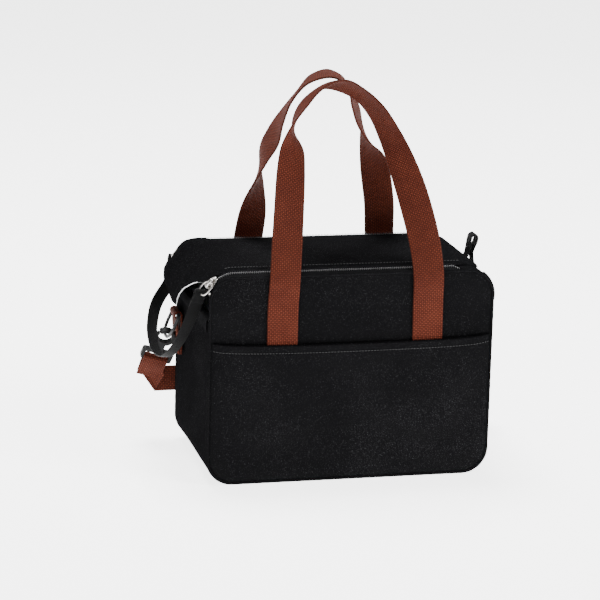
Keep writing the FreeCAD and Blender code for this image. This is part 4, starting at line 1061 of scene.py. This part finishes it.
def lid_grid(s, depth, narrow=0.0, columns=48, turned_down=2.2 * MM, plump=1.6 * MM):
    """A grid of the lid's surface. t runs from -1 at the front edge to 1 at the back; the face is
    crowned between its edges and rolls down over the last few millimetres."""
    t = np.linspace(-1, 1, columns)
    t = 0.6 * t + 0.4 * np.sin(t * math.pi / 2)
    front, back = lid_half(s, narrow)
    y = (-front[:, None] * (1 - t) + back[:, None] * (1 + t)) / 2
    x, z = lid_line(s, depth)
    xo, zo = lid_line(s, depth - 1 * MM)
    out_x, out_z = (xo - x)[:, None] / MM, (zo - z)[:, None] / MM
    inside = np.minimum(y + front[:, None], back[:, None] - y)
    over_top = np.clip(s / (20 * MM) + 1, 0, 1)[:, None]
    roll = -turned_down * np.exp(-inside / (2.2 * MM)) * over_top
    ends = np.clip((LID_END - CORNER_X - s[:, None]) / 0.03, 0, 1)
    crown = plump * (1 - np.exp(-inside / (14 * MM))) * over_top * ends
    sag = hollows(x[:, None] + 0 * y, y, 41, 0.9 * MM) * np.minimum(inside / (20 * MM), 1) * ends
    sink = -3.6 * MM * np.clip((s - (HINGE_X - CORNER_X)) / (LID_END - HINGE_X), 0, 1)[:, None] ** 1.3
    loose = np.clip((6 * MM - s[:, None]) / (26 * MM), 0, 1) * np.clip((y - 8 * MM) / (52 * MM), 0, 1) ** 1.5
    folds = 1.1 * MM * np.sin(y * 230 + 0.8) * np.clip(-s[:, None] / (24 * MM), 0, 1)
    folds = folds * np.minimum(inside / (14 * MM), 1)
    lift = roll + crown + sag + sink + 4.4 * MM * loose + folds
    return xyz(x[:, None] + out_x * lift, y, z[:, None] + out_z * lift), inside


outer, inside = lid_grid(S_TOP, 0.6 * MM)
inner, _ = lid_grid(S_TOP, 1.8 * MM)
cover = thick_sheet("lid_shell", outer, inner, shell_cloth, outer[..., [0, 1]])
held = np.ones(len(cover.data.vertices), bool)
held[:inside.size] = (inside.ravel() < 5 * MM) | (np.repeat(S_TOP, inside.shape[1]) > 0.215)
settle_cloth(cover, held, 1.1 * MM)
smoother(cover)
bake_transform(cover)
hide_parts("lid_cover")

s_pad = np.linspace(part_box("lid_foam")[1].x - CORNER_X, 3 * MM, 40)
pad_top, _ = lid_grid(s_pad, 2.3 * MM, 4 * MM, 30, 0.5 * MM, 0.5 * MM)
pad_low, _ = lid_grid(s_pad, 6.4 * MM, 4 * MM, 30, 0, 0)
pad = thick_sheet("lid_foam_pad", pad_top, pad_low, foam_sheet)
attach(pad, "lid")
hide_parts("lid_foam")

s_foil = np.linspace(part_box("lid_foam")[1].x - CORNER_X + 1 * MM, 2 * MM, 110)
foil_face, _ = lid_grid(s_foil, 6.9 * MM, 3.5 * MM, 80, 0, 0)
folds = crumple(foil_face[..., 0], foil_face[..., 1], 23, 0.3 * MM)
foil_face[..., 2] += folds
lid_foil = thick_sheet("lid_foil", foil_face, foil_face - np.array([0, 0, 0.4 * MM]), foil)
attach(lid_foil, "lid")
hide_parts("lid_lining")

s_tip = S_TOP[S_TOP < -3 * MM]
tip_out, _ = lid_grid(s_tip, 2.2 * MM, 0.3 * MM)
tip_in, _ = lid_grid(s_tip, 2.7 * MM, 0.3 * MM)
facing = thick_sheet("tongue_foil", tip_out, tip_in, foil)
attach(facing, "lid")
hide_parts("tongue_facing")


def lid_edge(s, side, depth, out=0.0):
    """A line along the lid's front (-1) or back (1) edge, moved out of it by out."""
    front, back = lid_half(s)
    x, z = lid_line(s, depth)
    return xyz(x, (-(front + out) if side < 0 else back + out), z)


s_edge = np.linspace(BEND_S - 2 * MM, BEND_S - TONGUE, 60)
tip = S_TOP[-1]
x_tip, z_tip = lid_line(np.array([tip]), 1.8 * MM)
front_tip, back_tip = lid_half(np.array([tip]))
cross = xyz(x_tip[0] - 0.2 * MM, np.linspace(-front_tip[0], back_tip[0], 30), z_tip[0] - 0.5 * MM)
rim = np.concatenate([lid_edge(s_edge, -1, 1.7 * MM), cross[1:-1], lid_edge(s_edge, 1, 1.7 * MM)[::-1]])
rim = smooth_path(rim[::3], 220)
edge = tube("tongue_foil_edge", rim, 0.5 * MM, foil, sides=8)
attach(edge, "lid")
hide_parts("tongue_edge")

for side, name in ((-1, "front"), (1, "back")):
    s_line = np.linspace(HINGE_X - CORNER_X - 4 * MM, -8 * MM, 160)
    line = lid_edge(s_line, side, -0.55 * MM, -3.2 * MM)
    row = stitch_row(f"lid_{name}_stitches", line, (0, 0, 1), black_thread)
    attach(row, "lid")

# ----------------------------------------------------------
# Pull ribbon: a 12 mm black grosgrain tape that ties the two rings together. Each end goes through its
# ring and is sewn back on itself; between them the tape hangs in a loop past the left end.
# ----------------------------------------------------------
# The first colour is the painted shade between the yarns.
black_tape = woven("black_tape", (0.0007, 0.0007, 0.0008), (0.0018, 0.0018, 0.0020),
                   (0.0048, 0.0048, 0.0052), 0.9, 1.4, 0.0003, 0.6)
RIBBON_LEAN = math.radians(21)
TAPE_THICK = 1.1 * MM
ring_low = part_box("front_ring")[0]
hang_x, hang_z = ring_low.x + 1.6 * MM, ring_low.z + 1.2 * MM
# Each row: how far across, how far along the tape's hang, and how far its end shifts near the rings,
# in mm.
at_ring = [(-71.6, -17, 1.4), (-70.8, -6, 1.6), (-70.2, 0.6, 1.9), (-70.9, 2.6, 0.2), (-71.9, 0.8, -1.6),
           (-71.9, -8, -1.2), (-72, -28, -0.6)]
between = [(-66, -52, 0.6), (-46, -72, 0), (-18, -79.5, 0), (16, -78.5, 0), (46, -69, 0), (66, -50, 0.6)]
rows = at_ring + between + [(-a, b, c) for a, b, c in at_ring[::-1]]
route = smooth_path(np.array(rows) * MM, 300)
along_lean = np.array([-math.sin(RIBBON_LEAN), 0, -math.cos(RIBBON_LEAN)])
square = np.array([math.cos(RIBBON_LEAN), 0, -math.sin(RIBBON_LEAN)])
centre = (np.array([hang_x, 0, hang_z]) + route[:, :1] * [[0, 1, 0]] - route[:, 1:2] * along_lean[None]
          + 6.5 * MM * np.exp(-((route[:, 1:2] + 22 * MM) / (19 * MM)) ** 2) * square[None]
          * np.clip(route[:, :1] / (60 * MM), 0, 1))
side_way = square + 0.35 * np.sin(np.linspace(0, 2 * math.pi, 300))[:, None] * [[0, 0.6, 1]]
centre[:, 1] += np.sign(route[:, 0]) * np.where(np.abs(np.arange(300) - 149.5) > 115, route[:, 2], 0) * -0.6
ribbon = band("pull_ribbon_band", centre, side_way, 12 * MM, TAPE_THICK, black_tape, -0.5 * MM)
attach(ribbon, "zip_pull")
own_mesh(ribbon)
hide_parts("pull_ribbon")

# ----------------------------------------------------------
# Side hardware: a folded webbing tab on each end holds a D-ring of black-coated wire; a moulded snap
# hook with a sprung gate hangs in each ring, and the shoulder strap goes through the hook's eye.
# ----------------------------------------------------------
black_plastic, tree, shader, grain = speckled("black_plastic", 0.55, 0.0, (1500.0, 2.0, 0.6),
                                              (0.0014, 0.0014, 0.0015), (0.0030, 0.0030, 0.0032))
tree.links.new(bump(tree, grain, 0.0001, 0.5), shader["Normal"])
shader["Specular IOR Level"].default_value = 0.12
coated_wire = speckled("coated_wire", 0.42, 0.0, (420.0, 3.0, 0.7),
                       (0.004, 0.004, 0.0045), (0.016, 0.016, 0.017))[0]
for end in ("left", "right"):
    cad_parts[f"{end}_dring"].data.materials[0] = coated_wire
    for node in (f"{end}_snap_hook", f"{end}_hook_gate"):
        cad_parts[node].data.materials[0] = black_plastic
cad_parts["strap_glide"].data.materials[0] = black_plastic


def mirror_x(points, way):
    """The points as they are for the left end (1), or mirrored for the right end (-1)."""
    return points * np.array([way, 1, 1])


ENDS = (("left", 1), ("right", -1))
STRAP_WIDE = 25 * MM
TAB_Y, TAB_THICK = 57 * MM, 1.7 * MM
BEND_X, BEND_Z, BEND_R = -HALF_WIDE - 4.3 * MM, 136 * MM, 3.4 * MM
SEWN_LOW, SEWN_HIGH = 99 * MM, 120 * MM
for end, way in ENDS:
    tab_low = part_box(f"{end}_side_tab")[0].z + 0.5 * MM
    a = np.linspace(math.pi / 2, -math.pi * 0.62, 28)[2:]
    down = xyz(-HALF_WIDE - 0.9 * MM, TAB_Y, np.linspace(tab_low, BEND_Z - 1 * MM, 24))
    around = xyz(BEND_X + BEND_R * np.sin(a), TAB_Y, BEND_Z + BEND_R * np.cos(a))
    outside = xyz(np.linspace(-HALF_WIDE - 5.4 * MM, -HALF_WIDE - 3.0 * MM, 14), TAB_Y,
                  np.linspace(BEND_Z - 5.5 * MM, tab_low, 14))
    line = smooth_path(np.concatenate([down, around, outside]), 110)
    tab = band(f"{end}_tab", mirror_x(line, way), (0, 1, 0), STRAP_WIDE, TAB_THICK, rust_webbing)
    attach(tab, "bag")
    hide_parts(f"{end}_side_tab")
    across_tab = np.array([-10, 10, 10, -10, -10, 10]) * MM
    z = np.array([SEWN_LOW, SEWN_LOW, SEWN_HIGH, SEWN_HIGH, SEWN_LOW, SEWN_HIGH])
    stand = -HALF_WIDE - 4.1 * MM - 1.3 * MM * (z - SEWN_LOW) / (SEWN_HIGH - SEWN_LOW)
    route = straight_runs(mirror_x(xyz(stand, TAB_Y + across_tab, z), way), 24)
    sewn = stitch_row(f"{end}_tab_stitches", route, (-way, 0, 0), rust_thread, *RUST_STITCH)
    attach(sewn, "bag")

# ----------------------------------------------------------
# Shoulder strap: 25 mm webbing at its shortest. Each end loops through a hook's eye, hangs out and down,
# folds over and runs along the back; the spare length lies doubled on it, from the slide.
# ----------------------------------------------------------
STRAP_THICK = 1.5 * MM
STRAP_Y = (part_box("strap_run")[0].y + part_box("strap_run")[1].y) / 2
EYE = np.array([-162.0, 71.8, 86.5]) * MM
EYE_OUT = math.radians(16)
FOLD_X, FOLD_Z, FOLD_TURN = -168 * MM, 60 * MM, math.radians(22)
HANG = unit(np.array([FOLD_X, STRAP_Y - 1.5 * MM, FOLD_Z]) - EYE)
ALONG_BAR = np.array([math.cos(EYE_OUT), 0, -math.sin(EYE_OUT)])
OFF_FACE = np.cross(HANG, ALONG_BAR)


def strap_end(name, way):
    """The strap from a hook's eye to its fold: two plies that leave the bar and close together, swept as
    a band whose line goes down one side of the bar, round it and back up the other."""
    rows = [(21, -1.3), (16, -1.6), (11, -2.4), (3, -3.3), (-1.6, -2.6), (-2.9, 0), (-1.6, 2.6), (3, 3.3),
            (11, 2.6), (18, 1.3), (24, 0.9)]
    line = smooth_path(np.array([(a, b, 0) for a, b in rows]) * MM, 130)
    settle = np.clip((line[:, 0] - 14 * MM) / (22 * MM), 0, 1)[:, None] ** 2
    centre = EYE + line[:, :1] * HANG + line[:, 1:2] * OFF_FACE
    side = ALONG_BAR * (1 - settle) + np.array([math.cos(FOLD_TURN), 0, -math.sin(FOLD_TURN)]) * settle
    centre[:, 1] = np.minimum(centre[:, 1], STRAP_Y - 2.2 * MM)
    return band(name, mirror_x(centre, way), mirror_x(side, way), STRAP_WIDE, STRAP_THICK, rust_webbing)


def strap_dip(x):
    """How far the strap's run lies below its fold at x: it comes down to the slide, low on the back."""
    share = np.clip((x + 125 * MM) / (55 * MM), 0, 1)
    return (FOLD_Z - 24 * MM) * share ** 2 * (3 - 2 * share)


def strap_fold(name, way):
    """The strap's corner and its run. w is across the strap and q the length past the fold line. Before
    it the strap comes down and out at FOLD_TURN; past it each point is mirrored in the line, which turns
    the strap along the back. The run dips to the slide at the middle of the back."""
    w = np.linspace(-12.5, 12.5, 20) * MM
    q = np.concatenate([np.linspace(-22, -1.5, 14), np.linspace(-1.2, 1.2, 9), np.linspace(1.8, 30, 16),
                        np.linspace(34, 168.6, 70)]) * MM
    gw, gq = np.meshgrid(w, q, indexing="ij")
    squared = np.where(gq > 0, np.clip(1 - (gq - 20 * MM) / (40 * MM), 0, 1), 1)
    slant = math.cos(FOLD_TURN) / (1 + math.sin(FOLD_TURN))
    length = gq + gw * slant * squared
    past = np.clip(gq / (2.4 * MM) + 0.5, 0, 1)
    past = past ** 2 * (3 - 2 * past)
    down = xyz(FOLD_X - length * math.sin(FOLD_TURN) + gw * math.cos(FOLD_TURN), 0,
               FOLD_Z - length * math.cos(FOLD_TURN) - gw * math.sin(FOLD_TURN))
    over = xyz(FOLD_X + length, 0, FOLD_Z - gw)
    flat = np.where((gq > 0)[..., None], over, down)
    flat[..., 1] = STRAP_Y - 1.2 * MM + 2.0 * MM * past - 0.55 * np.maximum(-gq - 4 * MM, 0)
    flat[..., 2] -= strap_dip(flat[..., 0])
    flat[..., 1] += 0.8 * MM * np.sin(flat[..., 0] * 42) * np.clip(gq / (30 * MM), 0, 1)
    half_thick = np.array([0, 0.7 * MM, 0])
    return thick_sheet(name, mirror_x(flat + half_thick, way), mirror_x(flat - half_thick, way),
                       rust_webbing, np.stack([gw, length], -1))


for end, way in ENDS:
    looped = strap_end(f"{end}_strap_loop", way)
    run = strap_fold(f"{end}_strap_fold", way)
    for piece in (looped, run):
        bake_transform(piece)
    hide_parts(f"{end}_strap_end")
    if end == "left":
        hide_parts("strap_run")

return_low, return_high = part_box("strap_return")
x = np.linspace(return_low.x, return_high.x, 90)
y = STRAP_Y + 2.9 * MM - 1.4 * MM * np.exp(-(x - return_low.x) / (12 * MM)) + 0.5 * MM * np.sin(x * 42)
spare = band("strap_spare", xyz(x, y, FOLD_Z - strap_dip(x)), (0, 0, 1), STRAP_WIDE, STRAP_THICK,
             rust_webbing)
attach(spare, "bag")
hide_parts("strap_return")
sewn_x, sewn_z = np.array([(4, -9), (22, -9), (22, 9), (4, 9), (4, -9), (22, 9)]).T * MM
route = straight_runs(xyz(return_low.x + sewn_x, STRAP_Y, FOLD_Z + sewn_z), 24)
route[:, 1] = np.interp(route[:, 0], x, y) + 0.8 * MM
sewn = stitch_row("strap_spare_stitches", route, (0, 1, 0), rust_thread, *RUST_STITCH)
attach(sewn, "bag")

# ----------------------------------------------------------
# Right end: a folded tape tab stands up from the top corner, to hold while the lid is zipped, and a short
# folded end of tape covers the end of each zip.
# ----------------------------------------------------------
rows = [(133.0, 196.0), (135.2, 201.5), (136.2, 209), (136.6, 215), (137.6, 219.6), (140.4, 221.2),
        (143.0, 218.6), (143.2, 214.2), (141.2, 208), (139.9, 203), (140.3, 198), (141.4, 192)]
line = smooth_path(np.array([(a, 0, b) for a, b in rows]) * MM, 110)
line[:, 0] += 1.5 * MM * np.clip((line[:, 2] - 200 * MM) / (20 * MM), 0, 1) ** 2
grab = band("grab_loop", line, (0, 1, 0), 14 * MM, TAPE_THICK, black_tape)
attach(grab, "bag")
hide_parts("grab_tab")

for side, way in SIDES:
    low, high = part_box(f"{side}_zip_patch")
    mid_y = (low.y + high.y) / 2
    swing = np.radians(np.linspace(48, 0, 12))
    bend = CORNER + np.linspace(0.4, 1.4, 12) * MM
    round_corner = xyz(HALF_WIDE - CORNER + bend * np.cos(swing), mid_y, CORNER_Z + bend * np.sin(swing))
    foot = np.array([(HALF_WIDE + 1.3 * MM, mid_y, 0.1755), (HALF_WIDE + 0.9 * MM, mid_y, 0.173),
                     (HALF_WIDE, mid_y, 0.1722)])
    line = smooth_path(np.vstack([round_corner, foot]), 60)
    patch = band(f"{side}_zip_end", line, (0, 1, 0), high.y - low.y, 1.4 * MM, black_tape, -0.8 * MM)
    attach(patch, "bag")
    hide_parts(f"{side}_zip_patch")
